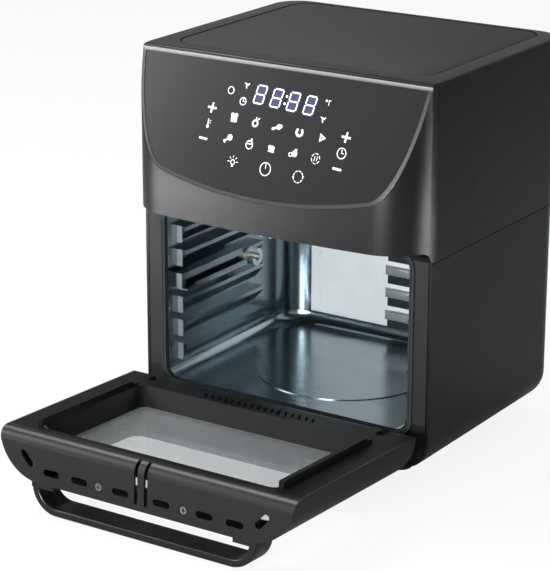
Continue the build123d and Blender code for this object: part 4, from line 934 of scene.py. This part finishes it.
# Studio: a floor and world that are white to the camera and darker to other rays, which keeps the
# body's reflections dark. floorBounce is the floor's tone for those rays, worldFill the world's strength
studio = {
    "floorHalf": 12.0,
    "floorTone": 0.98,
    "floorBounce": 0.36,
    "spread": 150, "poolSpread": 70,
    "cameraWhite": 0.87,
    "worldFill": 0.30,
    "lamps": {
        "keyLeft": {"place": (-2.05, -1.72, 1.3), "aim": (0, 0, 0.2), "size": (1.1, 1.6), "power": 31},
        "topSoft": {"place": (-1.15, 0.0, 2.1), "aim": (0, 0, 0.3), "size": (0.9, 0.9), "power": 22},
        "mouthSoft": {"place": (0.25, -1.9, 0.42), "aim": (0.03, 0.1, 0.17), "size": (0.6, 0.4),
                      "power": 30},
        "rightStrip": {"place": (2.2, 0.2, 0.8), "aim": (0, 0, 0.25), "size": (0.5, 1.6), "power": 6},
        "poolLeft": {"place": (-1.0, -1.0, 0.8), "aim": (-0.95, -0.95, 0), "size": (0.5, 0.5), "power": 54},
        "poolRight": {"place": (1.05, 0.15, 0.6), "aim": (1.05, 0.14, 0), "size": (0.3, 0.3), "power": 24},
    },
}


def buildFloor():
    deselect()
    bpy.ops.mesh.primitive_grid_add(x_subdivisions=8, y_subdivisions=8, size=2 * studio["floorHalf"])
    floor = bpy.context.object
    floor.name = "studioFloor"
    made = Finish("floorPaper")
    tone = studio["floorTone"]
    paper = made.ramp(made.noise(3.0, 2.0), 0.2, 0.8)
    rays = made.tree.nodes.new("ShaderNodeLightPath")
    bounce = studio["floorBounce"]
    seenTone = made.blend(paper, (tone, tone, tone), (tone + 0.02, tone + 0.02, tone + 0.02))
    camera = Flow(made, rays.outputs["Is Camera Ray"])
    made.set(Base_Color=made.blend(camera, (bounce, bounce, bounce), seenTone), Roughness=0.9)
    white = made.node("ShaderNodeEmission", {}, Color=(1, 1, 1, 1), Strength=1.0)
    mixed = made.tree.nodes.new("ShaderNodeMixShader")
    seen = made.math("MAXIMUM", camera, Flow(made, rays.outputs["Is Transmission Ray"]))
    made.put(mixed.inputs[0], seen * studio["cameraWhite"])
    made.tree.links.new(made.shader.outputs[0], mixed.inputs[1])
    made.tree.links.new(white.socket, mixed.inputs[2])
    made.tree.links.new(mixed.outputs[0], made.output.inputs["Surface"])
    floor.data.materials.append(made.material)


def buildWorld():
    world = bpy.data.worlds.new("studioWorld")
    bpy.context.scene.world = world
    world.use_nodes = True
    tree = world.node_tree
    sky = tree.nodes["Background"]
    sky.inputs["Color"].default_value = (1, 1, 1, 1)
    rays = tree.nodes.new("ShaderNodeLightPath")
    strength = tree.nodes.new("ShaderNodeMapRange")
    tree.links.new(rays.outputs["Is Camera Ray"], strength.inputs["Value"])
    strength.inputs["To Min"].default_value = studio["worldFill"]
    strength.inputs["To Max"].default_value = 1.0
    tree.links.new(strength.outputs[0], sky.inputs["Strength"])


def buildLamps():
    for name, lamp in studio["lamps"].items():
        bpy.ops.object.light_add(type="AREA", location=lamp["place"])
        made = bpy.context.object
        made.name = name
        aim = Vector(lamp["aim"]) - Vector(lamp["place"])
        made.rotation_euler = aim.to_track_quat("-Z", "Y").to_euler()
        made.data.shape = "RECTANGLE"
        made.data.size, made.data.size_y = lamp["size"]
        made.data.energy = lamp["power"]
        made.data.spread = math.radians(studio["poolSpread" if name.startswith("pool") else "spread"])
        made.visible_camera = False


buildCamera()
dressNodes()
outline = sliceOutline()
buildHood(outline)
buildPanel(outline)
buildLid()
buildSeam()
buildLouvres()
buildRailEnds()
buildCrosses("door", "door")
buildCrosses("rear", "frame")
buildPanelPrint()
buildFloor()
buildWorld()
buildLamps()
bpy.context.scene.view_settings.view_transform = "Standard"
print("studio ready")
